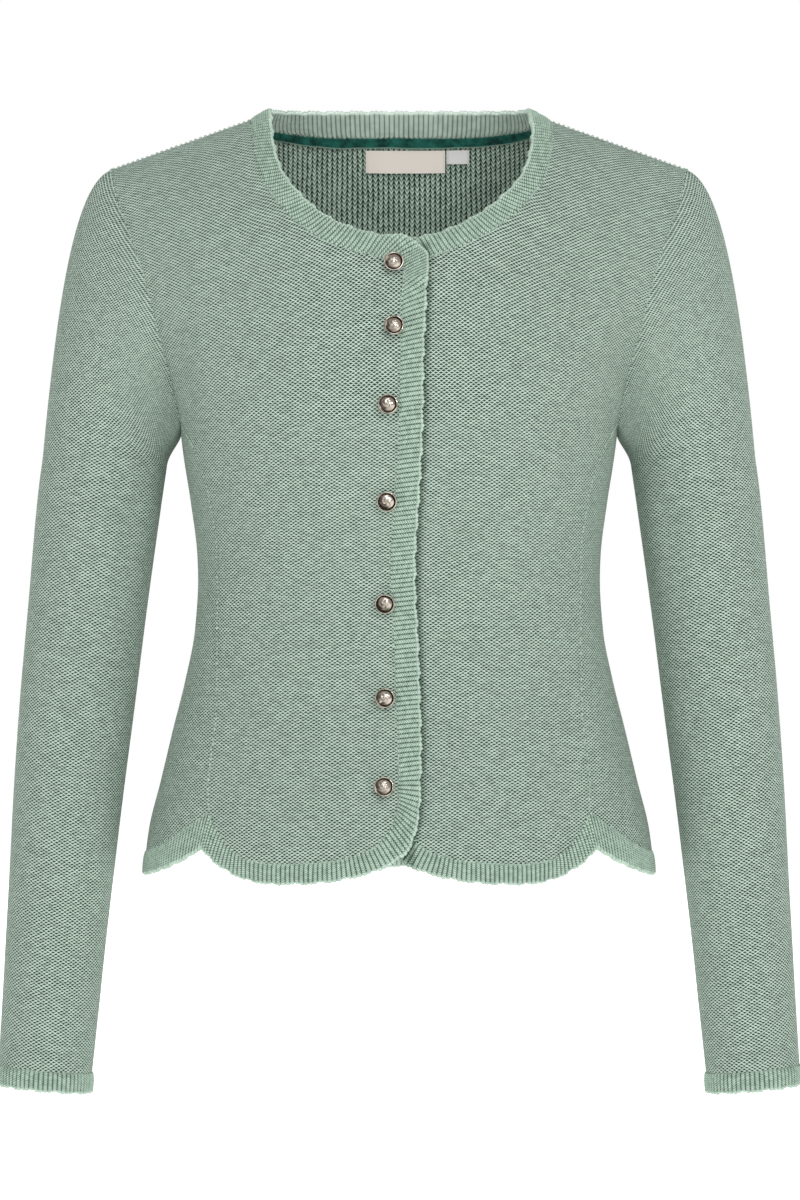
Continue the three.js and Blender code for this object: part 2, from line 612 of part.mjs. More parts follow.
// Sleeve on the +X side: head rings from the armhole, then the tube down to the cuff seam
function sleeveGrid() {
  const ring = armholeRing();
  const count = ring.length;
  const lengths = ring.map((p, i) => p.at.distanceTo(ring[(i + 1) % count].at));
  const total = lengths.reduce((sum, one) => sum + one, 0);
  let walked = 0;
  const angles = lengths.map((length) => {
    const angle = (2 * Math.PI * walked) / total;
    walked += length;
    return angle;
  });
  const firstZ = SLEEVE[0].z;
  const first = sleeveRing(firstZ, angles);
  const down = vec(SLEEVE_LEAN, 0, -1).normalize();
  const starts = ring.map(({ at, normal }, i) => {
    const under = (1 - Math.cos(angles[i])) / 2;
    const slope = lerp(-0.5, -1.35, under);
    const aim = vec(Math.cos(Math.atan(slope)) * lerp(1, 0.28, under ** 3), 0, Math.sin(Math.atan(slope)));
    aim.normalize();
    const inward = Math.min(0, aim.dot(normal));
    aim.addScaledVector(normal, -inward).normalize();
    const span = at.distanceTo(first[i]);
    return { at, normal, aim, span };
  });
  const bezier = (start, end, t) => {
    const { at, aim, span } = start;
    const second = at.clone().addScaledVector(aim, 4 + 0.1 * span);
    const third = end.clone().addScaledVector(down, -span * (0.35 + 0.25 * Math.min(1, span / 194)));
    const curve = new THREE.CubicBezierCurve3(at, second, third, end);
    return curve.getPoint(t);
  };
  const rings = [starts.map(({ at }) => at)];
  for (const t of SLEEVE_HEAD_STEPS) {
    rings.push(starts.map((start, i) => bezier(start, first[i], t)));
  }
  const headRings = rings.length;
  for (const { z } of SLEEVE) rings.push(sleeveRing(z, angles));
  const grid = rings.map((points, r) => points.map((at, i) => {
    const before = points[(i + count - 1) % count];
    const after = points[(i + 1) % count];
    const above = rings[Math.max(0, r - 1)][i];
    const below = rings[Math.min(rings.length - 1, r + 1)][i];
    const normal = after.clone().sub(before).cross(below.clone().sub(above)).normalize();
    const away = at.clone().sub(vec((SLEEVE[0].inner + SLEEVE[0].outer) / 2, 0, at.z));
    if (r >= headRings && normal.dot(away) < 0) normal.negate();
    return { at: at.clone(), normal };
  }));
  const facing = grid[grid.length - 1][0].normal.x > 0 ? 1 : -1;
  grid.slice(0, headRings).flat().forEach(({ normal }) => normal.multiplyScalar(facing));
  grid[0].forEach((point, i) => {
    const body = ring[i].normal;
    const turned = (1 - point.normal.dot(body)) / 2;
    const away = starts[i].aim.clone().addScaledVector(body, 1.5 * turned).normalize();
    point.at.addScaledVector(away, ARMHOLE_GAP);
    if (turned < 0.08) point.normal.copy(body);
  });
  return grid;
}

// Rib at the end of the sleeve, a closed strip under its last ring
function cuffStrip(grid) {
  const down = vec(SLEEVE_LEAN / 2, -0.04, -1).normalize();
  return grid[grid.length - 1].map(({ at, normal }) => ({
    seam: { at, normal },
    free: { at: at.clone().addScaledVector(down, CUFF_DEPTH), normal },
  }));
}

const mirrorX = (point) => vec(-point.x, point.y, point.z);
const mirrorSpot = ({ at, normal }) => ({ at: mirrorX(at), normal: mirrorX(normal) });
const mirrorGrid = (grid) => grid.map((row) => row.map(mirrorSpot));
const mirrorStrip = (strip) => strip.map(({ seam, free }) => (
  { seam: mirrorSpot(seam), free: mirrorSpot(free) }));

// Where the line along Y through a place seen from the front meets a grid's faces
function meetGrid(grid, x, z, depth) {
  const skin = grid.map((row) => row.map(({ at, normal }) => at.clone().addScaledVector(normal, -depth)));
  const ray = new THREE.Ray(vec(x, 0, z), vec(0, 1, 0));
  const back = new THREE.Ray(vec(x, 0, z), vec(0, -1, 0));
  for (let r = 0; r < skin.length - 1; r += 1) {
    for (let c = 0; c < skin[r].length - 1; c += 1) {
      const [a, b, d, e] = [skin[r][c], skin[r][c + 1], skin[r + 1][c + 1], skin[r + 1][c]];
      for (const [p, q, s] of [[a, b, d], [a, d, e]]) {
        const at = vec(0, 0, 0);
        const hit = ray.intersectTriangle(p, q, s, false, at) || back.intersectTriangle(p, q, s, false, at);
        if (hit) {
          const normal = q.clone().sub(p).cross(s.clone().sub(p)).normalize();
          return { at, normal };
        }
      }
    }
  }
  throw new Error(`no cloth at ${x}, ${z}`);
}

// Flat piece sewn inside the back, on the panel's own faces
function sewnPatch(grid, { left, right, top, height, columns, thickness }) {
  const rows = [0, 0.5, 1].map((down) => Array.from({ length: columns + 1 }, (_, c) => {
    const { at } = meetGrid(grid, lerp(left, right, c / columns), top - height * down, WALL);
    return { at, normal: vec(0, 0.97, 0.24) };
  }));
  return clothWall(rows, thickness, false, -LABEL_LIFT - 0.15);
}

// Velvet tape under the seam of the back neck, on the panel's own faces
function neckTape(grid) {
  const last = grid.length - 1;
  const first = BACK_NECK.shoulderColumns;
  const columns = Array.from({ length: BACK_NECK.columns + 1 }, (_, k) => first + k);
  const alongColumn = (c, distance) => {
    let left = distance;
    for (let r = last; r > 0; r -= 1) {
      const span = grid[r][c].at.distanceTo(grid[r - 1][c].at);
      if (left <= span) {
        const share = left / span;
        const skin = (row) => row[c].at.clone().addScaledVector(row[c].normal, -WALL);
        return { at: mix(skin(grid[r]), skin(grid[r - 1]), share),
          normal: mix(grid[r][c].normal, grid[r - 1][c].normal, share).normalize() };
      }
      left -= span;
    }
    throw new Error('the tape is longer than the panel');
  };
  const rows = [0.6, TAPE.width / 2, TAPE.width].map((down) => {
    const row = columns.map((c) => alongColumn(c, down));
    const shorten = (end, next) => ({ at: mix(end.at, next.at, TAPE.endShare), normal: end.normal });
    const ends = [shorten(row[0], row[1]), shorten(row[row.length - 1], row[row.length - 2])];
    return [ends[0], ...row.slice(1, -1), ends[1]];
  });
  return clothWall(rows, TAPE.thickness, false, -TAPE.lift);
}

// Domed button with a raised rim and a short shank, its axis along +Z and its seat at z = 0
function buttonGeometry() {
  const { radius, rim, dome, shankRadius, shankLength, sides } = BUTTON;
  const profile = [
    [0, 0], [shankRadius, 0], [shankRadius, shankLength], [radius - 0.5, shankLength],
    [radius, shankLength + 0.5], [radius, shankLength + rim - 0.4], [radius - 0.7, shankLength + rim],
    [radius - 1.4, shankLength + rim - 0.3], [radius * 0.55, shankLength + dome * 0.62],
    [radius * 0.25, shankLength + dome * 0.72], [0, shankLength + dome * 0.75],
  ].map(([r, h]) => new THREE.Vector2(r, h));
  const geometry = new THREE.LatheGeometry(profile, sides);
  geometry.rotateX(Math.PI / 2);
  return geometry;
}

const cardigan = new THREE.Group();
function addPiece(name, geometry, material) {
  const piece = new THREE.Mesh(geometry, material);
  piece.name = name;
  cardigan.add(piece);
  return piece;
}

// Body panels
const ALL_SIDES = ['bottom', 'top', 'left', 'right'];
const frontOnTop = easeEdges(frontGrid(false), ALL_SIDES);
const backPanel = easeEdges(backGrid(), ALL_SIDES);
const sidePanel = easeEdges(sideGrid(), ALL_SIDES);
addPiece('front_right', clothWall(frontOnTop), KNIT);
addPiece('front_left', clothWall(easeEdges(frontGrid(true), ALL_SIDES)), KNIT);
addPiece('back', clothWall(backPanel), KNIT);
addPiece('side_left', clothWall(sidePanel), KNIT);
addPiece('side_right', clothWall(mirrorGrid(sidePanel)), KNIT);

// Rib trims
const notchTurn = seamTurn(NOTCH_LEVEL);
const sideHem = easeStrip(hemStrip(notchTurn, Math.PI - notchTurn, SIDE_LOBE));
const backHem = easeStrip(hemStrip(Math.PI + notchTurn, Math.PI - notchTurn, BACK_LOBE));
addPiece('trim_right', ribStrip(easeStrip(frontTrim(false))), RIB);
addPiece('trim_left', ribStrip(easeStrip(frontTrim(true))), RIB);
addPiece('hem_rib_side_left', ribStrip(sideHem), RIB);
addPiece('hem_rib_side_right', ribStrip(mirrorStrip(sideHem)), RIB);
addPiece('hem_rib_back', ribStrip(backHem), RIB);
addPiece('neck_rib_back', ribStrip(easeStrip(backNeckStrip())), RIB);

// Sleeves with their cuffs
const sleeve = sleeveGrid();
const eased = [...sleeve];
const lastRing = sleeve.length - 1;
eased[lastRing] = sleeve[lastRing].map(({ at, normal }, i) => {
  const way = sleeve[lastRing - 1][i].at.clone().sub(at).normalize();
  return { at: at.clone().addScaledVector(way, SEAM_GAP / 2), normal };
});
const cuff = easeStrip(cuffStrip(sleeve), false);
addPiece('sleeve_left', clothWall(eased, WALL, true), KNIT);
addPiece('sleeve_right', clothWall(mirrorGrid(eased), WALL, true), KNIT);
addPiece('cuff_rib_left', ribStrip(cuff, { closed: true }), RIB);
addPiece('cuff_rib_right', ribStrip(mirrorStrip(cuff), { closed: true }), RIB);

// Tape, label and size tab
addPiece('neck_tape', neckTape(backPanel), VELVET);
addPiece('neck_label', sewnPatch(backPanel, LABEL), WOVEN);
addPiece('size_tab', sewnPatch(backPanel, SIZE_TAB), TAB);

// Buttons on the closing edge
BUTTONS.forEach(({ x, z }, index) => {
  const { at, normal } = meetGrid(frontOnTop, x, z, 0);
  if (normal.y > 0) normal.negate();
  const button = addPiece(`button_${index + 1}`, buttonGeometry(), METAL);
  button.position.copy(at).addScaledVector(normal, BUTTON_LIFT);
  button.quaternion.setFromUnitVectors(vec(0, 0, 1), normal);
});

export default cardigan;
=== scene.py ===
import sys
import logging
import math
from dataclasses import dataclass, field
from enum import Enum
from typing import Sequence

import bmesh
import bpy
import numpy as np
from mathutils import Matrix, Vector


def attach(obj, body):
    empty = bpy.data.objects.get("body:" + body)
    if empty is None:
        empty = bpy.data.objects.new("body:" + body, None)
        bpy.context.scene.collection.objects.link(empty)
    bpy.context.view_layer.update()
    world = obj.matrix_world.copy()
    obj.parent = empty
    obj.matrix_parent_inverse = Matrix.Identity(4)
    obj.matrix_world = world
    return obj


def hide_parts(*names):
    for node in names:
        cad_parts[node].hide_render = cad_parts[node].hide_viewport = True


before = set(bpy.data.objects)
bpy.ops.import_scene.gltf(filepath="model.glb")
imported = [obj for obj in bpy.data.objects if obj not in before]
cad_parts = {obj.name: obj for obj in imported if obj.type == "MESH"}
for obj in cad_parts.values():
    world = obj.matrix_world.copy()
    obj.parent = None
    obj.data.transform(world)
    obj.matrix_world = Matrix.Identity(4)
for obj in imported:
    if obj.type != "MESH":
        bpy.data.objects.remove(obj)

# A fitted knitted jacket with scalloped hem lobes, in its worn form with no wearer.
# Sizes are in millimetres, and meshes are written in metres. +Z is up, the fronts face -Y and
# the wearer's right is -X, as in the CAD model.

Array = np.ndarray
MM = 0.001
log = logging.getLogger("cardigan")


def unit(vectors: Array) -> Array:
    """Vectors scaled to length one."""
    return vectors / np.maximum(np.linalg.norm(vectors, axis=-1, keepdims=True), 1e-9)


def mix(first: Array, second: Array, share: Array | float) -> Array:
    """A value between two others, by its share of the way."""
    return first + (second - first) * share


def soft_step(value: Array, low: float, high: float) -> Array:
    """A smooth rise from 0 at low to 1 at high."""
    share = np.clip((value - low) / (high - low), 0, 1)
    return share * share * (3 - 2 * share)


def walked(points: Array) -> Array:
    """Distance walked along rows of points, from the first point of each row."""
    steps = np.linalg.norm(np.diff(points, axis=-2), axis=-1)
    return np.concatenate([np.zeros(steps.shape[:-1] + (1,)), np.cumsum(steps, axis=-1)], axis=-1)


class SizeTable:
    """One column of a table of sizes, on a smooth curve that never overshoots its rows."""

    def __init__(self, keys: Sequence[float], values: Sequence[float]) -> None:
        """Sort the rows and work out the curve's slope at each of them.

        Args:
            keys: where each row stands, such as its level.
            values: the size at each row.
        """
        order = np.argsort(keys)
        self.keys = np.asarray(keys, float)[order]
        self.values = np.asarray(values, float)[order]
        slopes = np.diff(self.values) / np.diff(self.keys)
        before, after = slopes[:-1], slopes[1:]
        same_way = before * after > 0
        inner = np.where(same_way, 2 * before * after / np.where(same_way, before + after, 1), 0)
        self.slopes = np.concatenate([slopes[:1], inner, slopes[-1:]])

    def __call__(self, key: Array | float) -> Array:
        """The size at a key.

        Args:
            key: one key or an array of them; past the ends the last row holds.

        Returns:
            The sizes, in the shape of the keys.
        """
        at = np.clip(np.asarray(key, float), self.keys[0], self.keys[-1])
        i = np.clip(np.searchsorted(self.keys, at, side="right") - 1, 0, len(self.keys) - 2)
        step = self.keys[i + 1] - self.keys[i]
        t = (at - self.keys[i]) / step
        ends = self.values[i] * (1 + 2 * t) * (1 - t) ** 2 + self.values[i + 1] * t * t * (3 - 2 * t)
        return ends + step * t * (1 - t) * ((1 - t) * self.slopes[i] - t * self.slopes[i + 1])


class StationPath:
    """A smooth path through a table's stations."""

    def __init__(self, stations: Sequence[Sequence[float]], measured: Sequence[int]) -> None:
        """Measure the stations along some of their columns.

        Args:
            stations: the table, one row for each station.
            measured: the columns whose distance spaces the stations.
        """
        self.stations = np.asarray(stations, float)
        steps = np.linalg.norm(np.diff(self.stations[:, list(measured)], axis=0), axis=1)
        self.keys = np.concatenate([[0], np.cumsum(steps)])
        self.slopes = np.gradient(self.stations, self.keys, axis=0)

    def at(self, keys: Array) -> Array:
        """The table's columns at distances along the path.

        Args:
            keys: distances from the first station.

        Returns:
            One row of columns for each distance.
        """
        keys = np.clip(keys, 0, self.keys[-1])
        i = np.clip(np.searchsorted(self.keys, keys, side="right") - 1, 0, len(self.keys) - 2)
        step = (self.keys[i + 1] - self.keys[i])[..., None]
        t = (keys - self.keys[i])[..., None] / step
        first, second = self.stations[i], self.stations[i + 1]
        ends = first * (1 + 2 * t) * (1 - t) ** 2 + second * t * t * (3 - 2 * t)
        return ends + step * t * (1 - t) * ((1 - t) * self.slopes[i] - t * self.slopes[i + 1])

    def at_station(self, number: Array) -> Array:
        """The columns at a station's number, which may lie between two stations."""
        return self.at(np.interp(number, np.arange(len(self.keys)), self.keys))

    def even(self, count: int) -> Array:
        """A number of rows of columns, evenly spread along the path."""
        return self.at(np.linspace(0, self.keys[-1], count))


@dataclass(frozen=True)
class Fold:
    """A soft trough in the cloth between two places, in millimetres."""

    x1: float
    z1: float
    x2: float
    z2: float
    depth: float
    width: float


def trough_depth(across: Array, up: Array, folds: Sequence[Fold]) -> Array:
    """How deep the folds push the cloth in.

    Args:
        across: places across the cloth.
        up: places up the cloth.
        folds: the troughs, in the same two measures.

    Returns:
        The depth at each place.
    """
    depth = np.zeros(np.broadcast(across, up).shape)
    for fold in folds:
        run, rise = fold.x2 - fold.x1, fold.z2 - fold.z1
        share = ((across - fold.x1) * run + (up - fold.z1) * rise) / (run * run + rise * rise)
        share = np.clip(share, 0, 1)
        away = np.hypot(across - fold.x1 - share * run, up - fold.z1 - share * rise)
        taper = np.sin(math.pi * np.clip(share, 0.08, 0.92))
        depth += fold.depth * taper * np.exp(-((away / fold.width) ** 2))
    return depth


@dataclass
class TorsoForm:
    """The outer surface of the body, from its sections, as in the CAD model.

    A place is a turn and a level. The turn is 0 at the centre front, a quarter turn at the +X
    side and a half turn at the centre back. The level is the height of a row of knitting at the
    side of the jacket.
    """

    arm_level: float = -198.0
    notch_level: float = -447.0
    armpit_dip: float = 7.0
    armpit_reach: float = 60.0
    hem_curve_level: float = -330.0
    neck_half: float = 96.0
    shoulder_half: float = 187.0
    shoulder_slope: float = 0.357
    neck_climb: float = 38.0
    squareness: float = 2.3
    lap_drop: float = 3.6
    # level, half width, depth of the front, depth of the back
    body: tuple[tuple[float, float, float, float], ...] = (
        (-198, 142.5, 118, 100), (-218, 140, 118.5, 98), (-250, 135, 116, 93), (-283, 131, 105, 86),
        (-299, 130.5, 100, 83.5), (-331, 132.5, 95.5, 82), (-364, 138.8, 95.5, 87),
        (-396, 146.8, 100, 95.5), (-429, 154.7, 107, 104.5), (-461, 162.5, 113.5, 113),
        (-487, 165.5, 117, 118), (-500, 166.5, 118, 120),
    )
    # level, half width at the armhole seam, how far round the section the seam lies
    armhole: tuple[tuple[float, float, float], ...] = (
        (0, 187, 0.5), (-24, 182.5, 0.55), (-49, 175.5, 0.56), (-73, 168.5, 0.56),
        (-105, 160.5, 0.52), (-135, 155, 0.44), (-165, 148.5, 0.33), (-198, 140.9, 0.21),
    )
    # level, where the seam of the side panel lies, seen from the front
    side_seam: tuple[tuple[float, float], ...] = (
        (-198, 140.9), (-222, 128.5), (-250, 120.5), (-283, 116.5), (-345, 116.3), (-384, 116.8),
        (-410, 119.8), (-432, 121.5), (-447, 121),
    )
    # The folds of the CAD model are alike on both hands
    even_front_folds: tuple[Fold, ...] = (
        Fold(150, -118, 137, -190, 3, 10), Fold(112, -292, 70, -322, 1.8, 12),
    )
    even_back_folds: tuple[Fold, ...] = (
        Fold(146, -120, 134, -188, 3.5, 11), Fold(104, -300, 40, -318, 3, 13),
    )
    # Smaller folds that the CAD model leaves out, uneven from hand to hand
    front_folds: tuple[Fold, ...] = (
        Fold(-127, -206, -92, -236, 1.1, 8), Fold(128, -214, 98, -247, 1.3, 9),
        Fold(-122, -262, -84, -279, 1.1, 6.5), Fold(121, -272, 90, -285, 0.9, 6),
        Fold(-121, -305, -92, -316, 0.9, 5.5), Fold(122, -318, 97, -327, 0.8, 5),
        Fold(-64, -402, -82, -474, 1.7, 14), Fold(58, -396, 76, -470, 1.4, 13),
        Fold(-104, -384, -112, -446, 1.0, 8), Fold(101, -392, 108, -452, 1.2, 9),
        Fold(-12, -103, -36, -128, 0.9, 6), Fold(-13, -143, -42, -162, 0.8, 6),
        Fold(-16, -193, -46, -178, 0.7, 6), Fold(-17, -253, -44, -270, 0.6, 6),
        Fold(-24, -392, -34, -470, 0.9, 11), Fold(-118, -62, -92, -104, 0.9, 12),
        Fold(112, -58, 84, -110, 1.0, 13), Fold(36, -212, 66, -226, 0.7, 9),
    )
    back_folds: tuple[Fold, ...] = (
        Fold(-66, -286, -12, -302, 1.6, 9), Fold(14, -331, 72, -316, 1.4, 9),
        Fold(-96, -112, -104, -204, 1.6, 14), Fold(99, -98, 92, -214, 1.3, 13),
        Fold(-52, -394, -66, -470, 1.9, 16), Fold(34, -388, 49, -470, 1.6, 15),
        Fold(-6, -410, -2, -474, 1.1, 12), Fold(-30, -44, 34, -52, 0.9, 9),
    )
    tables: dict[str, SizeTable] = field(default_factory=dict, repr=False)
    flat_levels: Array = field(default_factory=lambda: np.linspace(-505, 0, 102), repr=False)
    flat_turns: Array = field(default_factory=lambda: np.linspace(-math.pi, math.pi, 361), repr=False)

    def __post_init__(self) -> None:
        """Make the smooth tables, and measure the flat cloth along and across the rows."""
        columns = {
            "body_half": (self.body, 1), "body_front": (self.body, 2), "body_back": (self.body, 3),
            "armhole_half": (self.armhole, 1), "armhole_round": (self.armhole, 2),
            "side_seam": (self.side_seam, 1),
        }
        for name, (rows, column) in columns.items():
            self.tables[name] = SizeTable([row[0] for row in rows], [row[column] for row in rows])
        turns, levels = np.meshgrid(self.flat_turns, self.flat_levels)
        places = self.raw_place(turns, levels)
        round_walk = walked(places)
        middle = len(self.flat_turns) // 2
        self.flat_across = round_walk - round_walk[:, middle:middle + 1]
        quarter = len(self.flat_turns) // 8
        self.flat_up_front = walked(places[:, middle + quarter])
        self.flat_up_back = walked(places[:, -1 - quarter])

    def shoulder_height(self, x: Array) -> Array:
        """Height of the shoulder line at a distance from the middle."""
        reach = np.abs(x)
        climb = self.neck_climb * (1 - np.minimum(reach / self.neck_half, 1) ** 1.5)
        return np.where(reach >= self.neck_half, -self.shoulder_slope * (reach - self.neck_half), climb)

    def section(self, level: Array) -> tuple[Array, Array, Array]:
        """Half width, depth of the front and depth of the back at a level.

        Args:
            level: levels above or below the armpit.

        Returns:
            The three sizes, each in the shape of the levels.
        """
        drop = np.clip(level / self.arm_level, 0, 1)
        swell = 1 - (1 - drop) ** 1.5
        n = self.squareness
        seam = self.tables["armhole_half"](level)
        upper = seam / (1 - self.tables["armhole_round"](level) ** n) ** (1 / n)
        below = level <= self.arm_level
        half = np.where(below, self.tables["body_half"](level), upper)
        front = np.where(below, self.tables["body_front"](level), self.body[0][2] * swell ** 0.7)
        back = np.where(below, self.tables["body_back"](level), self.body[0][3] * swell ** 0.42)
        return half, front, back

    def raw_place(self, turn: Array, level: Array) -> Array:
        """A place on the surface before its folds.

        Args:
            turn: how far round the body.
            level: the level of the row.

        Returns:
            The points, in the shape of the turns and levels with an axis of three added.
        """
        turn, level = np.broadcast_arrays(np.asarray(turn, float), np.asarray(level, float))
        half, front, back = self.section(level)
        sine, cosine, n = np.sin(turn), np.cos(turn), self.squareness
        radius = (np.abs(sine) ** n + np.abs(cosine) ** n) ** (-1 / n)
        x = half * radius * sine
        y = -np.where(cosine > 0, front, back) * radius * cosine
        top = self.shoulder_height(x)
        z = np.where(level <= self.arm_level, level, top - level / self.arm_level * (top - self.arm_level))
        return np.stack([x, y, z], axis=-1)

    def normal(self, turn: Array, level: Array) -> Array:
        """The outward direction at a place.

        Args:
            turn: how far round the body.
            level: the level of the row.

        Returns:
            Unit vectors.
        """
        turn, level = np.broadcast_arrays(np.asarray(turn, float), np.asarray(level, float))
        step = np.clip(-level / 4, 0.02, 0.5)
        below = np.minimum(level, -0.08)
        round_way = self.raw_place(turn + 0.002, below) - self.raw_place(turn - 0.002, below)
        up_way = self.raw_place(turn, below + step) - self.raw_place(turn, below - step)
        side = unit(np.cross(round_way, up_way))
        x = self.raw_place(turn, np.zeros_like(level))[..., 0]
        slope = (self.shoulder_height(x + 0.1) - self.shoulder_height(x - 0.1)) / 0.2
        ridge = unit(np.stack([-slope, np.zeros_like(slope), np.ones_like(slope)], axis=-1))
        return np.where((level > -0.2)[..., None], ridge, side)

    def place(self, turn: Array, level: Array, under: bool = False) -> tuple[Array, Array]:
        """A place on the folded surface, with its outward direction.

        Args:
            turn: how far round the body.
            level: the level of the row.
            under: whether it is on the front that laps under the other.

        Returns:
            The points and their unit normals.
        """
        at, normal = self.raw_place(turn, level), self.normal(turn, level)
        x, z = at[..., 0], at[..., 2]
        on_front = np.cos(np.broadcast_to(turn, x.shape)) > 0
        front = trough_depth(np.abs(x), z, self.even_front_folds) + trough_depth(x, z, self.front_folds)
        back = trough_depth(np.abs(x), z, self.even_back_folds) + trough_depth(x, z, self.back_folds)
        drop = np.where(on_front, front, back)
        if under:
            drop = drop + np.where(on_front, self.lap_drop * (1 - soft_step(x, 22, 52)), 0)
        return at - normal * drop[..., None], normal

    def locate(self, x: Array, z: Array, on_front: bool = True) -> tuple[Array, Array]:
        """The turn and level of a place seen from the front or the back.

        Args:
            x: distance from the middle.
            z: height.
            on_front: whether the place is on the front.

        Returns:
            The turns and the levels.
        """
        x, z = np.asarray(x, float), np.asarray(z, float)
        top = self.shoulder_height(x)
        upper = np.clip(self.arm_level * (top - z) / (top - self.arm_level), self.arm_level, 0)
        level = np.where(z <= self.arm_level, z, upper)
        turn = self.turn_at(x, level)
        return (turn if on_front else math.pi - turn), level

    def turn_at(self, x: Array, level: Array) -> Array:
        """The turn on the front at a distance from the middle."""
        share = np.clip(x / self.section(np.asarray(level, float))[0], -1, 1)
        rest = (1 - np.abs(share) ** self.squareness) ** (1 / self.squareness)
        return np.arctan2(share, rest)

    def seam_turn(self, level: Array) -> Array:
        """The turn of the side seam, or of the armhole above it, on the front's +X side."""
        level = np.asarray(level, float)
        upper, lower = self.tables["armhole_half"](level), self.tables["side_seam"](level)
        return self.turn_at(np.where(level > self.arm_level, upper, lower), level)

    def flat(self, turn: Array, level: Array, from_back: bool = False) -> Array:
        """Where a place lies in the flat cloth: across and up, in millimetres.

        Args:
            turn: how far round the body.
            level: the level of the row.
            from_back: whether it is measured across from the centre back.

        Returns:
            Pairs of across and up.
        """
        turn, level = np.broadcast_arrays(np.asarray(turn, float), np.asarray(level, float))
        turn = (turn + math.pi) % (2 * math.pi)
        last_row, last_column = len(self.flat_levels) - 1.001, len(self.flat_turns) - 1.001
        r = np.clip((level - self.flat_levels[0]) / np.diff(self.flat_levels)[0], 0, last_row)
        c = np.clip(turn / np.diff(self.flat_turns)[0], 0, last_column)
        r0, c0 = r.astype(int), c.astype(int)
        table = self.flat_across
        low = mix(table[r0, c0], table[r0, c0 + 1], c - c0)
        high = mix(table[r0 + 1, c0], table[r0 + 1, c0 + 1], c - c0)
        if from_back:
            end = np.where(turn > math.pi, len(self.flat_turns) - 1, 0)
            low, high = low - table[r0, end], high - table[r0 + 1, end]
        turned = np.abs(turn - math.pi) > math.pi / 2
        up = np.where(turned, np.interp(level, self.flat_levels, self.flat_up_back),
                      np.interp(level, self.flat_levels, self.flat_up_front))
        return np.stack([mix(low, high, r - r0), up], axis=-1)

    def hem_fade(self, level: Array) -> Array:
        """How much a row of knitting follows the curve of the hem."""
        span = self.hem_curve_level - self.notch_level
        return np.clip((self.hem_curve_level - level) / span, 0, 1) ** 1.5


def ring_share(distance: Array, reach: float) -> Array:
    """How far a rounded edge draws in, by distance from the edge: 1 at the edge, 0 past reach."""
    share = np.clip(1 - distance / reach, 0, 1)
    return 1 - np.sqrt(1 - share * share)


@dataclass
class ClothWall:
    """A wall of cloth between an outer and an inner grid of points."""

    outer: Array
    inner: Array
    flat: Array
    closed: bool = False

    @classmethod
    def from_skin(cls, skin: tuple[Array, Array], flat: Array, thickness: float,
                  closed: bool = False) -> "ClothWall":
        """Make a wall from the points and normals of its outer side.

        Args:
            skin: grid of points and grid of normals.
            flat: grid of pairs across and up the flat cloth.
            thickness: wall thickness.
            closed: whether the last column joins the first.

        Returns:
            The wall.
        """
        points, normals = skin
        return cls(points, points - normals * thickness, flat, closed)

    def mirrored(self) -> "ClothWall":
        """The same wall on the other hand."""
        flip = np.array([-1, 1, 1])
        return ClothWall(self.outer * flip, self.inner * flip, self.flat, self.closed)

    def faces(self) -> tuple[Array, Array, Array]:
        """The faces of the closed wall.

        Returns:
            Corner numbers, places in the flat cloth, and whether each face is inside.
        """
        rows, columns = self.outer.shape[:2]
        spans = columns if self.closed else columns - 1
        r, c = np.meshgrid(np.arange(rows - 1), np.arange(spans), indexing="ij")
        r, c = r.ravel(), c.ravel()
        side = np.stack([np.stack([r, c]), np.stack([r, c + 1]), np.stack([r + 1, c + 1]),
                         np.stack([r + 1, c])])
        count = rows * columns

        def corner(pair: Array, inside: bool) -> Array:
            """Numbers of the corners at grid places."""
            return pair[:, 0] * columns + pair[:, 1] % columns + (count if inside else 0)

        def spread(pair: Array) -> Array:
            """Flat places of the corners at grid places."""
            return self.flat[pair[:, 0], np.minimum(pair[:, 1], self.flat.shape[1] - 1)]

        corners = [corner(side, False).T, corner(side[::-1], True).T]
        flats = [spread(side).transpose(1, 0, 2), spread(side[::-1]).transpose(1, 0, 2)]
        inside = [np.zeros(len(r), bool), np.ones(len(r), bool)]
        c, last = np.arange(spans), rows - 1
        edges = [(np.stack([0 * c, c + 1]), np.stack([0 * c, c])),
                 (np.stack([0 * c + last, c]), np.stack([0 * c + last, c + 1]))]
        if not self.closed:
            r, end = np.arange(last), columns - 1
            edges += [(np.stack([r + 1, 0 * r + end]), np.stack([r, 0 * r + end])),
                      (np.stack([r, 0 * r]), np.stack([r + 1, 0 * r]))]
        for first, second in edges:
            pair = np.stack([first, second])
            corners.append(np.concatenate([corner(pair, False), corner(pair[::-1], True)]).T)
            flats.append(np.concatenate([spread(pair), spread(pair[::-1])]).transpose(1, 0, 2))
            inside.append(np.zeros(first.shape[1], bool))
        return np.concatenate(corners), np.concatenate(flats), np.concatenate(inside)

    def build(self, name: str, outside: bpy.types.Material,
              inside: bpy.types.Material) -> bpy.types.Object:
        """Make the wall's object.

        Args:
            name: the piece's name.
            outside: material of the outer side and the edges.
            inside: material of the inner side.

        Returns:
            The object.
        """
        corners, flats, is_inside = self.faces()
        points = np.concatenate([self.outer.reshape(-1, 3), self.inner.reshape(-1, 3)])
        quads = points[corners[~is_inside][:, :3]]
        facing = np.cross(quads[:, 1] - quads[:, 0], quads[:, 2] - quads[:, 0])
        outward = (self.outer - self.inner).reshape(-1, 3)
        first = corners[~is_inside][:, 0] % len(outward)
        if np.sum(facing * outward[first]) < 0:
            corners, flats = corners[:, ::-1], flats[:, ::-1]
        return build_mesh(name, points, corners, flats, is_inside.astype(int), [outside, inside])


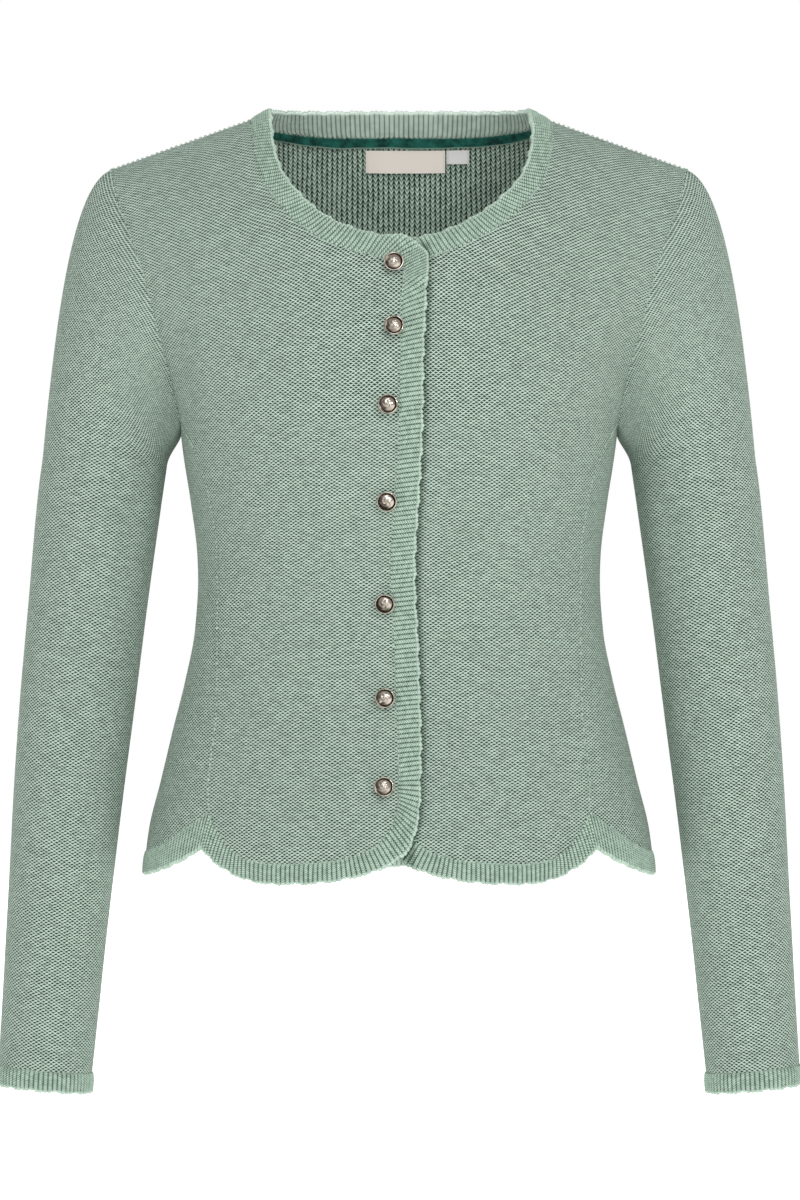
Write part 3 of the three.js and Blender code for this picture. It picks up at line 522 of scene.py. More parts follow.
def build_mesh(name: str, points: Array, corners: Array, flats: Array | None, slots: Array | None,
               materials: Sequence[bpy.types.Material], crisp: float = 55.0) -> bpy.types.Object:
    """Make an object from arrays of points and equal-sided faces.

    Args:
        name: the piece's name.
        points: corners in millimetres.
        corners: corner numbers, one row for each face.
        flats: place in the flat cloth for each face corner, or None.
        slots: number of the material of each face, or None.
        materials: the materials.
        crisp: angle in degrees past which an edge is drawn sharp.

    Returns:
        The object, linked to the scene.
    """
    mesh = bpy.data.meshes.new(name)
    mesh.vertices.add(len(points))
    mesh.vertices.foreach_set("co", np.ascontiguousarray(points * MM, dtype=np.float32).ravel())
    mesh.loops.add(corners.size)
    mesh.loops.foreach_set("vertex_index", np.ascontiguousarray(corners, dtype=np.int32).ravel())
    mesh.polygons.add(len(corners))
    starts = np.arange(0, corners.size, corners.shape[1], dtype=np.int32)
    mesh.polygons.foreach_set("loop_start", starts)
    for material in materials:
        mesh.materials.append(material)
    if slots is not None:
        mesh.polygons.foreach_set("material_index", np.asarray(slots, np.int32))
    if flats is not None:
        layer = mesh.uv_layers.new(name="knit")
        layer.data.foreach_set("uv", np.ascontiguousarray(flats, dtype=np.float32).ravel())
    mesh.update(calc_edges=True)
    mesh.polygons.foreach_set("use_smooth", np.ones(len(corners), bool))
    mesh.set_sharp_from_angle(angle=math.radians(crisp))
    piece = bpy.data.objects.new(name, mesh)
    bpy.context.collection.objects.link(piece)
    return piece


def dress(piece: bpy.types.Object, slot: str, *nodes: str) -> bpy.types.Object:
    """Give a piece its body, and hide the CAD nodes that it stands for.

    Args:
        piece: the new piece.
        slot: the record's material slot; not used.
        nodes: names of the CAD nodes that it replaces.

    Returns:
        The piece.
    """
    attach(piece, "root")
    if nodes:
        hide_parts(*nodes)
    log.info("%s: %d faces", piece.name, len(piece.data.polygons))
    return piece


@dataclass(frozen=True)
class Cut:
    """The flat size that a piece of cloth was cut or knitted to, in millimetres."""

    width: float
    length: float
    area_share: float = 1.0

    def declare(self, piece: bpy.types.Object) -> None:
        """Meant to state the cut of a sheet of cloth that hangs from the shoulders; it does nothing."""


# Rows of each front: x and z of the rib trim's seam, x and z of its free edge, both seen from
# the front, and the level where the row meets the side seam or the armhole
FRONT_ROWS = (
    (-3.4, -453, 7.8, -467.5, -447), (-0.5, -441.4, 12.7, -449, -436), (-0.3, -427, 13.9, -427, -422),
    (-1.3, -402.6, 14.3, -402.6, -399), (-2.1, -371, 13.5, -371, -369),
    (-3.2, -338.5, 12.4, -338.5, -338), (-5.1, -306, 10.7, -306, -306), (-5.3, -281, 10.7, -281, -280),
    (-2.9, -252, 12.6, -252, -251), (-1.4, -227.6, 14.1, -227.6, -225), (-0.4, -201.4, 15.2, -201.4, -198),
    (0.4, -176, 15.6, -176, -173), (1, -152, 16, -152, -150), (0.6, -130, 17.2, -130, -128),
    (2, -112, 17.8, -112, -109), (1.5, -98.5, 17.4, -90.5, -92), (-4.9, -96, 7.8, -81, -76),
    (-15.6, -93.5, -11.2, -79, -61), (-33.3, -88.7, -28.7, -74.5, -46), (-54.5, -79, -46.7, -66, -32),
    (-74, -62, -62.7, -52, -20), (-87, -43.5, -74.5, -36.5, -10.5), (-93.5, -20, -81, -15, -3.5),
    (-96, 0, -83.4, 7.2, 0),
)
# Hem lobe of each front, from the side notch to the centre: rib seam and free edge
FRONT_LOBE = (
    (-121, -447, -126.6, -469.8), (-116.5, -457.8, -121.9, -475), (-109.4, -467.4, -113.3, -482),
    (-99.9, -475, -100.4, -488.3), (-85.7, -478.6, -85.7, -491.7), (-68.1, -478.8, -68.1, -492),
    (-48.6, -477.5, -48.6, -490.8), (-33, -475, -31.1, -488), (-19.4, -470.2, -13.6, -483),
    (-9.7, -463, -0.5, -476.2), (-3.4, -453, 7.8, -467.5),
)
NOTCH_TIP = (126.6, -469.8)


def shade_by_lap(piece: bpy.types.Object, reach: float = 2.8) -> None:
    """Mark the cloth of the left front that lies in the shade of the edge lapping over it.

    Args:
        piece: the cloth.
        reach: how far the shade falls beside the edge, in millimetres.
    """
    spots = np.empty(len(piece.data.vertices) * 3)
    piece.data.vertices.foreach_get("co", spots)
    x, y, z = spots.reshape(-1, 3).T / MM
    edge = np.array([row[2:4] for row in FRONT_ROWS if row[3] < -85])
    beside = np.maximum(0, x - np.interp(z, edge[:, 1], edge[:, 0]))
    shade = np.exp(-((beside / reach) ** 2)) * (y < 0) * np.clip((-82 - z) / 6, 0, 1)
    piece.data.attributes.new("lap_shade", "FLOAT", "POINT").data.foreach_set("value", shade)


def lobe(share: Array) -> Array:
    """Curve of a hem lobe: 0 at its two ends and 1 in its middle."""
    return 1 - np.abs(2 * share - 1) ** 2.6


@dataclass
class BodyPanels:
    """Fronts, side panels and back, each one a shaped knit panel with its purl side out."""

    form: TorsoForm
    step: float = 2.4
    wall: float = 2.2
    front_cut: Cut = Cut(212, 480, 0.72)
    side_cut: Cut = Cut(160, 282, 0.76)
    back_cut: Cut = Cut(440, 520, 0.76)
    side_drop: float = 29.0
    back_drop: float = 30.0
    neck_ease: tuple[tuple[float, float], ...] = ((-83, 0), (-66, 2.5), (-40, 5), (-12, 4.5), (8, 0))
    back_neck_z: float = -6.0
    back_neck_reach: float = 120.0
    # Size across and up that the steps of each grid are counted over
    front_width: float = 165.0
    back_size: tuple[float, float] = (330.0, 480.0)
    side_columns: int = 33

    def __post_init__(self) -> None:
        """Make the smooth paths of the fronts' closing edge, hem and neckline."""
        self.edge = StationPath(FRONT_ROWS, (0, 1))
        self.hem = StationPath(FRONT_LOBE, (0, 1))
        self.ease = SizeTable([row[0] for row in self.neck_ease], [row[1] for row in self.neck_ease])

    def front_spot(self, x: Array, z: Array, under: bool) -> tuple[Array, Array]:
        """Turn and level of a place of the right front, or of its like on the left one.

        Args:
            x: place across the right front.
            z: height.
            under: whether it is on the left front, which laps under.

        Returns:
            The turns and the levels.
        """
        if not under:
            return self.form.locate(x, z)
        ease = np.where((z > self.neck_ease[0][0]) & (x < -10), self.ease(z), 0)
        return self.form.locate(ease - x, z)

    def front_grid(self, under: bool) -> tuple[Array, Array]:
        """Turns and levels of a front, from its hem to the shoulder and from side to closing edge.

        Args:
            under: whether it is the left front.

        Returns:
            Grid of turns and grid of levels.
        """
        hand = 1 if under else -1
        rows = self.edge.even(round(self.edge.keys[-1] / self.step))
        share = np.linspace(0, 1, round(self.front_width / self.step))
        hem = self.hem.at_station(share * (len(FRONT_LOBE) - 1))
        hem_turn, hem_level = self.front_spot(hem[:, 0], hem[:, 1], under)
        inner_turn, inner_level = self.front_spot(rows[:, 0], rows[:, 1], under)
        level = rows[:, 4]
        outer_turn = hand * self.form.seam_turn(level)
        fade = self.form.hem_fade(level)[:, None]
        bend_turn = hem_turn - mix(hem_turn[0], hem_turn[-1], share)
        bend_level = hem_level - mix(hem_level[0], hem_level[-1], share)
        turns = mix(outer_turn[:, None], inner_turn[:, None], share) + fade * bend_turn
        levels = mix(level[:, None], inner_level[:, None], share) + fade * bend_level
        return turns, levels

    def side_grid(self) -> tuple[Array, Array]:
        """Turns and levels of the +X side panel, from hem to armpit and from front to back.

        Returns:
            Grid of turns and grid of levels.
        """
        low, high = self.form.notch_level, self.form.arm_level
        rows = np.linspace(low, high, round((high - low) / self.step))[:, None]
        share = np.linspace(0, 1, self.side_columns)
        front = self.form.seam_turn(rows)
        reach = self.form.armpit_reach
        dip = np.clip((rows - self.form.arm_level + reach) / reach, 0, 1)
        dip = dip * self.form.armpit_dip * np.sin(math.pi * share)
        hem = self.form.hem_fade(rows) * self.side_drop * lobe(share)
        return mix(front, math.pi - front, share), rows - hem - dip

    def neck_level(self, x: Array) -> Array:
        """Level of the back neck seam.

        Args:
            x: distance from the middle.

        Returns:
            The level there.
        """
        form = self.form
        share = np.clip(np.abs(x) / form.neck_half, 0, 1)
        z = mix(self.back_neck_z, self.back_neck_z - 1.5, share)
        top = form.shoulder_height(x)
        return form.arm_level * (top - z) / (top - form.arm_level) * np.sqrt(1 - share ** 5)

    def back_top(self, share: Array) -> tuple[Array, Array, Array]:
        """The back's upper edge: shoulders and neckline.

        Args:
            share: places along it, from 0 at the -X side to 1.

        Returns:
            Distances from the middle, turns counted from the centre back, and levels.
        """
        form, hand = self.form, np.sign(share - 0.5)
        steps = np.abs(share - 0.5) * 4
        on_neck = form.neck_half * np.sin(math.pi / 2 * np.minimum(steps, 1) ** 1.15)
        x = np.where(steps > 1, mix(form.neck_half, form.shoulder_half, steps - 1), on_neck)
        level = np.where(steps > 1, 0, self.neck_level(x))
        return hand * x, hand * form.turn_at(x, level), level

    def back_grid(self) -> tuple[Array, Array]:
        """Turns and levels of the back, from its hem to its upper edge and from -X to +X.

        Returns:
            Grid of turns and grid of levels.
        """
        form, (width, height) = self.form, self.back_size
        rows = SizeTable(range(len(FRONT_ROWS)), [row[4] for row in FRONT_ROWS])
        level = rows(np.linspace(0, len(FRONT_ROWS) - 1, round(height / self.step)))[:, None]
        # An odd number of columns puts one on the centre back
        share = np.linspace(0, 1, round(width / self.step) | 1)
        side = form.seam_turn(level)
        _, top_turn, top_level = self.back_top(share)
        reach = float(form.seam_turn(np.array(0.0)))
        rise = np.clip(1 + level / self.back_neck_reach, 0, 1) ** 1.3
        turns = mix(-side, side, share) + rise * (top_turn - mix(-reach, reach, share))
        hem = form.hem_fade(level) * self.back_drop * lobe(share)
        return math.pi - turns, level + rise * top_level - hem

    def wall_of(self, grid: tuple[Array, Array], under: bool = False,
                from_back: bool = False) -> ClothWall:
        """The wall of cloth of a grid of turns and levels."""
        flat = self.form.flat(*grid, from_back)
        return ClothWall.from_skin(self.form.place(*grid, under), flat, self.wall)

    def build(self, outside: bpy.types.Material, inside: bpy.types.Material) -> None:
        """Make the five panels.

        Args:
            outside: the cloth's outer side.
            inside: its inner side.
        """
        turns, levels = self.side_grid()
        panels = {
            "front_right": (self.wall_of(self.front_grid(False)), self.front_cut),
            "front_left": (self.wall_of(self.front_grid(True), True), self.front_cut),
            "back": (self.wall_of(self.back_grid(), from_back=True), self.back_cut),
            "side_left": (self.wall_of((turns, levels)), self.side_cut),
            "side_right": (self.wall_of((-turns, levels)), self.side_cut),
        }
        for node, (wall, cut) in panels.items():
            piece = dress(wall.build(f"knit_{node}", outside, inside), "knit", node)
            cut.declare(piece)
            if node == "front_left":
                shade_by_lap(piece)


@dataclass
class RibStrip:
    """A strip of ribbed knitting between a seam and a free edge, with its ribs across it."""

    seam: Array
    seam_normals: Array
    free: Array
    free_normals: Array
    closed: bool = False
    pitch: float = 3.0
    rise: float = 1.0
    wall: float = 2.2
    slant: Array | float = 0.0
    samples: int = 6
    # Rows of points near the free edge and near the seam, by their distance from each
    edge_rows: tuple[float, ...] = (0.0, 0.12, 0.35, 0.75, 1.3, 2.0)
    seam_rows: tuple[float, ...] = (1.2, 0.6, 0.0)
    # Half width of the groove between two ribs, as a share of the pitch
    groove: float = 0.2
    # How far the strip puffs out, its edge rolls up, and its seam draws in
    puff: float = 0.45
    roll: float = 0.35
    draw: float = 0.4
    # How far the ribs push the free edge out into small waves
    ripple: float = 0.7

    def resampled(self) -> tuple[Array, Array, Array, Array, Array, Array]:
        """Spread the stations evenly, a set number to each rib.

        Returns:
            Seam points and normals, free points and normals, the ribs counted so far, and how
            much the ribs lean there.
        """
        stations = [self.seam, self.seam_normals, self.free, self.free_normals]
        if self.closed:
            stations = [np.concatenate([one, one[:1]]) for one in stations]
        length = walked((stations[0] + stations[2]) / 2)
        ribs = max(1, round(length[-1] / self.pitch))
        at = np.linspace(0, length[-1], ribs * self.samples + 1)
        if self.closed:
            at = at[:-1]
        spread = [np.stack([np.interp(at, length, one[:, k]) for k in range(3)], axis=1)
                  for one in stations]
        slant = np.interp(at, length, np.broadcast_to(self.slant, length.shape))
        return (*spread, at / length[-1] * ribs, slant)

    def wall_grid(self) -> ClothWall:
        """The strip as a wall: ribs, a groove at the seam and a rolled free edge.

        Returns:
            The wall.
        """
        seam, seam_normals, free, free_normals, count, slant = self.resampled()
        width = float(np.mean(np.linalg.norm(free - seam, axis=1)))
        first, last = self.edge_rows[-1] + 0.9, width - self.seam_rows[0] - 0.6
        middle = np.linspace(first, last, max(4, round(width / 1.5)))
        from_free = np.concatenate([self.edge_rows, middle, width - np.array(self.seam_rows)])[::-1]
        share = (1 - from_free / width)[None, :, None]
        points = mix(seam[:, None], free[:, None], share)
        normals = unit(mix(seam_normals[:, None], free_normals[:, None], share))
        to_edge = from_free[None, :]
        to_seam = width - to_edge
        # The ribs lean most where they leave the seam
        bent = to_seam + 2.5 * (1 - np.exp(-to_seam / 2))
        phase = count[:, None] - slant[:, None] * bent / self.pitch
        from_groove = 0.5 - np.abs(phase % 1 - 0.5)
        crest = 1 - np.exp(-((from_groove / self.groove) ** 2))
        fade = 1 - 0.55 * np.exp(-((to_edge / 1.6) ** 2))
        lift = self.rise * crest * fade + self.puff * np.sin(math.pi * share[..., 0])
        lift = lift + self.roll * np.exp(-(((to_edge - 1.3) / 0.9) ** 2))
        lift = lift - self.draw * np.exp(-((to_seam / 0.8) ** 2))
        draw_in = self.wall / 2 * ring_share(to_edge, self.wall / 2)
        # Two waves, about five ribs long and half that, scallop the free edge
        scallop = 0.45 * np.sin(count * 1.19) + 0.3 * np.sin(count * 2.37 + 1.3)
        bump = (self.ripple * (crest - 0.6) + scallop[:, None]) * np.exp(-((to_edge / 1.8) ** 2))
        outward = unit(free - seam)[:, None] * bump[..., None]
        outer = points + normals * (lift - draw_in)[..., None] + outward
        inner = points - normals * (self.wall - draw_in)[..., None] + outward
        flat = np.stack([phase * self.pitch, np.broadcast_to(to_edge, phase.shape)], axis=-1)
        if self.closed:
            turn = flat[:1] + [round(float(count[-1])) * self.pitch, 0]
            flat = np.concatenate([flat, turn])
            outer, inner = outer.transpose(1, 0, 2), inner.transpose(1, 0, 2)
            return ClothWall(outer, inner, flat.transpose(1, 0, 2), True)
        return ClothWall(outer, inner, flat)


@dataclass
class RibTrims:
    """The rib strips: both front trims, side and back hems, and the back of the neck."""

    form: TorsoForm
    panels: BodyPanels
    side_drops: tuple[float, float] = (29.0, 42.5)
    back_drops: tuple[float, float] = (30.0, 43.5)
    back_neck_top: float = 9.5
    # Lean per millimetre from the middle that stands the back neck's ribs upright
    neck_fan: float = 0.0075
    # Height on the front trim, and the slope its ribs lean by there
    slants: tuple[tuple[float, float], ...] = (
        (-492, 0), (-440, 0.02), (-400, 0.1), (-300, 0.12), (-165, 0.15), (-139, 0.25), (-120, 0.45),
        (-106, 0.7), (-92, 0.1), (-86, -0.3), (-60, -0.4), (8, -0.35),
    )
    trim_cut: Cut = Cut(16, 660)
    side_hem_cut: Cut = Cut(14.5, 222)
    back_hem_cut: Cut = Cut(14, 318)
    back_neck_cut: Cut = Cut(16, 228)

    def strip(self, seam: tuple[Array, Array], free: tuple[Array, Array], under: bool = False,
              slant: Array | float = 0.0) -> RibStrip:
        """A strip between two lines of turns and levels.

        Args:
            seam: turns and levels of its seam.
            free: turns and levels of its free edge.
            under: whether it is on the front that laps under.
            slant: how far its ribs lean, as a slope.

        Returns:
            The strip.
        """
        seam_at, seam_normals = self.form.place(*seam, under)
        free_at, free_normals = self.form.place(*free, under)
        seam_at = seam_at + unit(free_at - seam_at) * 0.1
        return RibStrip(seam_at, seam_normals, free_at, free_normals, slant=slant)

    def front(self, under: bool) -> RibStrip:
        """The trim of a front: along its hem, up the closing edge and round the neckline.

        Args:
            under: whether it is on the front that laps under.

        Returns:
            The strip.
        """
        rows = [*FRONT_LOBE[:-1], *(row[:4] for row in FRONT_ROWS)]
        path = StationPath(rows, (0, 1)).even(900)
        spots = [self.panels.front_spot(path[:, k], path[:, k + 1], under) for k in (0, 2)]
        heights, slopes = zip(*self.slants)
        return self.strip(spots[0], spots[1], under, np.interp(path[:, 3], heights, slopes))

    def hem(self, first: float, last: float, drops: tuple[float, float]) -> RibStrip:
        """The strip under a hem lobe.

        Args:
            first: turn where the lobe starts.
            last: turn where it ends.
            drops: how far its seam and its free edge hang below the notch.

        Returns:
            The strip.
        """
        form, share = self.form, np.linspace(0, 1, 300)
        notch = form.notch_level
        tip_turn, _ = form.locate(np.array(NOTCH_TIP[0]), np.array(NOTCH_TIP[1]))
        lean = (tip_turn - form.seam_turn(np.array(notch))) * np.sign(first)
        turn, bow = mix(first, last, share), lobe(share)
        drop = mix(notch - NOTCH_TIP[1], drops[1], bow ** 0.8)
        free_turn = turn + lean * (1 - bow) * np.sign(0.5 - share)
        return self.strip((turn, notch - drops[0] * bow), (free_turn, notch - drop))

    def back_neck(self) -> RibStrip:
        """The rib that stands up at the back of the neck.

        Returns:
            The strip.
        """
        end = FRONT_ROWS[-1]
        x, turn, level = self.panels.back_top(np.linspace(0.25, 0.75, 260))
        free_x = x * abs(end[2]) / self.form.neck_half
        z = mix(self.back_neck_top, end[3], (np.abs(free_x) / abs(end[2])) ** 2)
        upright = self.neck_fan * x * np.sign(x[-1] - x[0])
        return self.strip((math.pi - turn, level), self.form.locate(free_x, z, False),
                          slant=upright)

    def strips(self) -> dict[str, tuple[RibStrip, Cut]]:
        """The strips, each with the size that it was knitted to.

        Returns:
            Strips and cuts by the name of their node.
        """
        notch = float(self.form.seam_turn(np.array(self.form.notch_level)))
        return {
            "trim_right": (self.front(False), self.trim_cut),
            "trim_left": (self.front(True), self.trim_cut),
            "hem_rib_side_left": (self.hem(notch, math.pi - notch, self.side_drops), self.side_hem_cut),
            "hem_rib_side_right": (self.hem(-notch, notch - math.pi, self.side_drops),
                                   self.side_hem_cut),
            "hem_rib_back": (self.hem(math.pi + notch, math.pi - notch, self.back_drops),
                             self.back_hem_cut),
            "neck_rib_back": (self.back_neck(), self.back_neck_cut),
        }

    def build(self, outside: bpy.types.Material, inside: bpy.types.Material) -> None:
        """Make the strips.

        Args:
            outside: the rib's outer side.
            inside: its inner side.
        """
        for node, (strip, cut) in self.strips().items():
            piece = strip.wall_grid().build(f"rib_{node}", outside, inside)
            cut.declare(dress(piece, "rib", node))
            if node == "trim_left":
                shade_by_lap(piece)


# Folds of each sleeve, uneven from hand to hand: way round from its outer line, and height
SLEEVE_FOLDS = {
    "left": (
        Fold(62, -372, 96, -402, 2.2, 9), Fold(54, -418, 92, -436, 1.8, 8),
        Fold(-40, -392, -82, -418, 1.6, 10), Fold(20, -330, 52, -352, 1.0, 9),
        Fold(66, -470, 88, -486, 1.2, 7), Fold(-20, -470, -60, -492, 1.0, 9),
        Fold(96, -236, 80, -292, 1.8, 10), Fold(-88, -240, -72, -300, 1.6, 10),
    ),
    "right": (
        Fold(58, -384, 94, -410, 2.0, 8), Fold(50, -432, 90, -452, 1.6, 8),
        Fold(-46, -380, -84, -404, 1.8, 10), Fold(14, -348, 46, -366, 0.9, 8),
        Fold(62, -356, 88, -368, 1.1, 7), Fold(-26, -486, -58, -504, 1.1, 9),
        Fold(98, -232, 84, -280, 1.6, 9), Fold(-90, -246, -76, -308, 1.7, 11),
    ),
}


@dataclass
class Sleeve:
    """A set-in knit sleeve with its rib cuff. It is worked out on the +X side."""

    form: TorsoForm
    panels: BodyPanels
    hand: str
    folds: tuple[Fold, ...]
    # height, inner and outer edge seen from the front, half depth, middle in depth
    sections: tuple[tuple[float, float, float, float, float], ...] = (
        (-222, 151, 231.5, 43, 2), (-250, 155, 235, 42, 1), (-315, 163.8, 240.5, 40.5, -2),
        (-380, 171.8, 246, 39, -6), (-442, 179.6, 250, 37, -10), (-485, 184.6, 252, 35.5, -13),
        (-533, 190, 254.5, 34, -16), (-572, 194, 256.5, 33, -18), (-614.5, 198.5, 259, 32, -20),
    )
    lean: float = 0.09
    cuff_depth: float = 13.0
    armhole_gap: float = 0.3
    wall: float = 2.2
    columns: int = 128
    head_rows: int = 33
    length_rows: int = 120
    # Slope by which the cloth leaves the armhole: over the shoulder, and under the arm
    head_slopes: tuple[float, float] = (-0.5, -1.35)
    cut: Cut = Cut(255, 585, 0.82)
    cuff_cut: Cut = Cut(13, 205)

    def armhole(self) -> tuple[Array, Array]:
        """The armhole seam, from the underarm round the back, over the shoulder and down the front.

        Returns:
            Points and normals of the body, evenly spread.
        """
        form = self.form
        rows = SizeTable(range(len(FRONT_ROWS)), [row[4] for row in FRONT_ROWS])
        armpit = next(i for i, row in enumerate(FRONT_ROWS) if row[4] == form.arm_level)
        up = rows(np.linspace(armpit, len(FRONT_ROWS) - 1, 90))
        down, share = up[::-1], np.linspace(0, 1, 24)[1:-1]
        front = form.seam_turn(np.array(form.arm_level))
        turns = [form.seam_turn(down), mix(front, math.pi - front, share), math.pi - form.seam_turn(up)]
        levels = [down, form.arm_level - form.armpit_dip * np.sin(math.pi * share), up]
        points, normals = form.place(np.concatenate(turns), np.concatenate(levels))
        length = walked(points)
        at = np.linspace(0, length[-1], self.columns + 1)[:-1]
        ring = [np.stack([np.interp(at, length, one[:, k]) for k in range(3)], axis=1)
                for one in (points, normals)]
        half = self.columns // 2
        return np.roll(ring[0], half, axis=0), unit(np.roll(ring[1], half, axis=0))

    def ring(self, height: Array, angles: Array) -> Array:
        """Sections of the sleeve, leaning with the arm.

        Args:
            height: heights of the sections.
            angles: how far round, from the outer line towards the front.

        Returns:
            Grid of points.
        """
        tables = [SizeTable([row[0] for row in self.sections], [row[k] for row in self.sections])
                  for k in range(1, 5)]
        inner, outer, half_depth, middle = (table(height)[:, None] for table in tables)
        across = (outer - inner) / 2 * np.cos(angles)
        return np.stack([(inner + outer) / 2 + across, middle - half_depth * np.sin(angles),
                         height[:, None] + self.lean * across], axis=-1)

    def grid(self) -> tuple[Array, Array, Array]:
        """The sleeve's skin from the armhole to the cuff.

        Returns:
            Points, normals, and places in the flat cloth with one column more.
        """
        starts, body_normals = self.armhole()
        angles = math.pi + 2 * math.pi * np.arange(self.columns) / self.columns
        first_height = self.sections[0][0]
        ends = self.ring(np.array([first_height]), angles)[0]
        down = unit(np.array([self.lean, 0, -1]))
        under = (1 - np.cos(angles)) / 2
        slope = np.arctan(mix(*self.head_slopes, under))
        aim = np.stack([np.cos(slope) * mix(1, 0.28, under ** 3), 0 * slope, np.sin(slope)], axis=1)
        aim = unit(aim)
        inward = np.minimum(0, np.sum(aim * body_normals, axis=1))[:, None]
        aim = unit(aim - body_normals * inward)
        span = np.linalg.norm(starts - ends, axis=1)[:, None]
        second = starts + aim * (4 + 0.1 * span)
        third = ends - down * span * (0.35 + 0.25 * np.minimum(1, span / 194))
        t = np.linspace(0, 1, self.head_rows + 1)[:-1, None, None]
        head = (starts * (1 - t) ** 3 + second * 3 * t * (1 - t) ** 2 + third * 3 * t * t * (1 - t)
                + ends * t ** 3)
        heights = np.linspace(first_height, self.sections[-1][0], self.length_rows)
        points = np.concatenate([head, self.ring(heights, angles)])
        around = np.roll(points, -1, axis=1) - np.roll(points, 1, axis=1)
        normals = unit(np.cross(around, np.gradient(points, axis=0)))
        axis = points[-1].mean(axis=0)
        if np.sum((points[-1] - axis) * normals[-1]) < 0:
            normals = -normals
        turned = ((1 - np.sum(normals[0] * body_normals, axis=1)) / 2)[:, None]
        points[0] += unit(aim + body_normals * 1.5 * turned) * self.armhole_gap
        normals[0] = np.where(turned < 0.08, body_normals, normals[0])
        closed = np.concatenate([points, points[:, :1]], axis=1)
        across = walked(closed)
        across = across - across[:, -1:] / 2
        along = walked(closed.transpose(1, 0, 2)).T
        along = along[len(t)] - along
        crease = trough_depth(across[:, :-1], points[..., 2], self.folds)
        return points - normals * crease[..., None], normals, np.stack([across, along], axis=-1)

    def walls(self) -> tuple[ClothWall, RibStrip]:
        """The sleeve's wall and its cuff, on the +X side.

        Returns:
            The wall and the strip of the cuff.
        """
        points, normals, flat = self.grid()
        wall = ClothWall.from_skin((points, normals), flat, self.wall, closed=True)
        down = unit(np.array([self.lean / 2, -0.04, -1]))
        seam = points[-1] + down * 0.15
        cuff = RibStrip(seam, normals[-1], seam + down * self.cuff_depth, normals[-1], closed=True)
        return wall, cuff

    def build(self, outside: bpy.types.Material, inside: bpy.types.Material,
              rib: bpy.types.Material, rib_inside: bpy.types.Material) -> None:
        """Make the sleeve and its cuff.

        Args:
            outside: the cloth's outer side.
            inside: its inner side.
            rib: the rib's outer side.
            rib_inside: its inner side.
        """
        wall, cuff = self.walls()
        cuff_wall = cuff.wall_grid()
        if self.hand == "right":
            wall, cuff_wall = wall.mirrored(), cuff_wall.mirrored()
        sleeve = wall.build(f"knit_sleeve_{self.hand}", outside, inside)
        self.cut.declare(dress(sleeve, "knit", f"sleeve_{self.hand}"))
        piece = cuff_wall.build(f"rib_cuff_{self.hand}", rib, rib_inside)
        self.cuff_cut.declare(dress(piece, "rib", f"cuff_rib_{self.hand}"))


@dataclass(frozen=True)
class LoopSizes:
    """The loops of a kind of seam, in millimetres and degrees."""

    pitch: float
    length: float
    radius: float
    # Angle off the seam's line, how far beside it a loop stands, and towards which sides
    slant: float
    reach: float
    hands: tuple[int, ...]


class StitchWay(Enum):
    """How the loops of a seam lie."""

    # Pairs of small loops that slant apart, as on a seam between two panels
    CHAIN = LoopSizes(3.3, 2.178, 0.378, 22, 0.4, (1, -1))
    # Single loops across the seam, as where a trim is linked on
    LINK = LoopSizes(3.0, 2.4, 0.399, 62, 0.0, (1,))


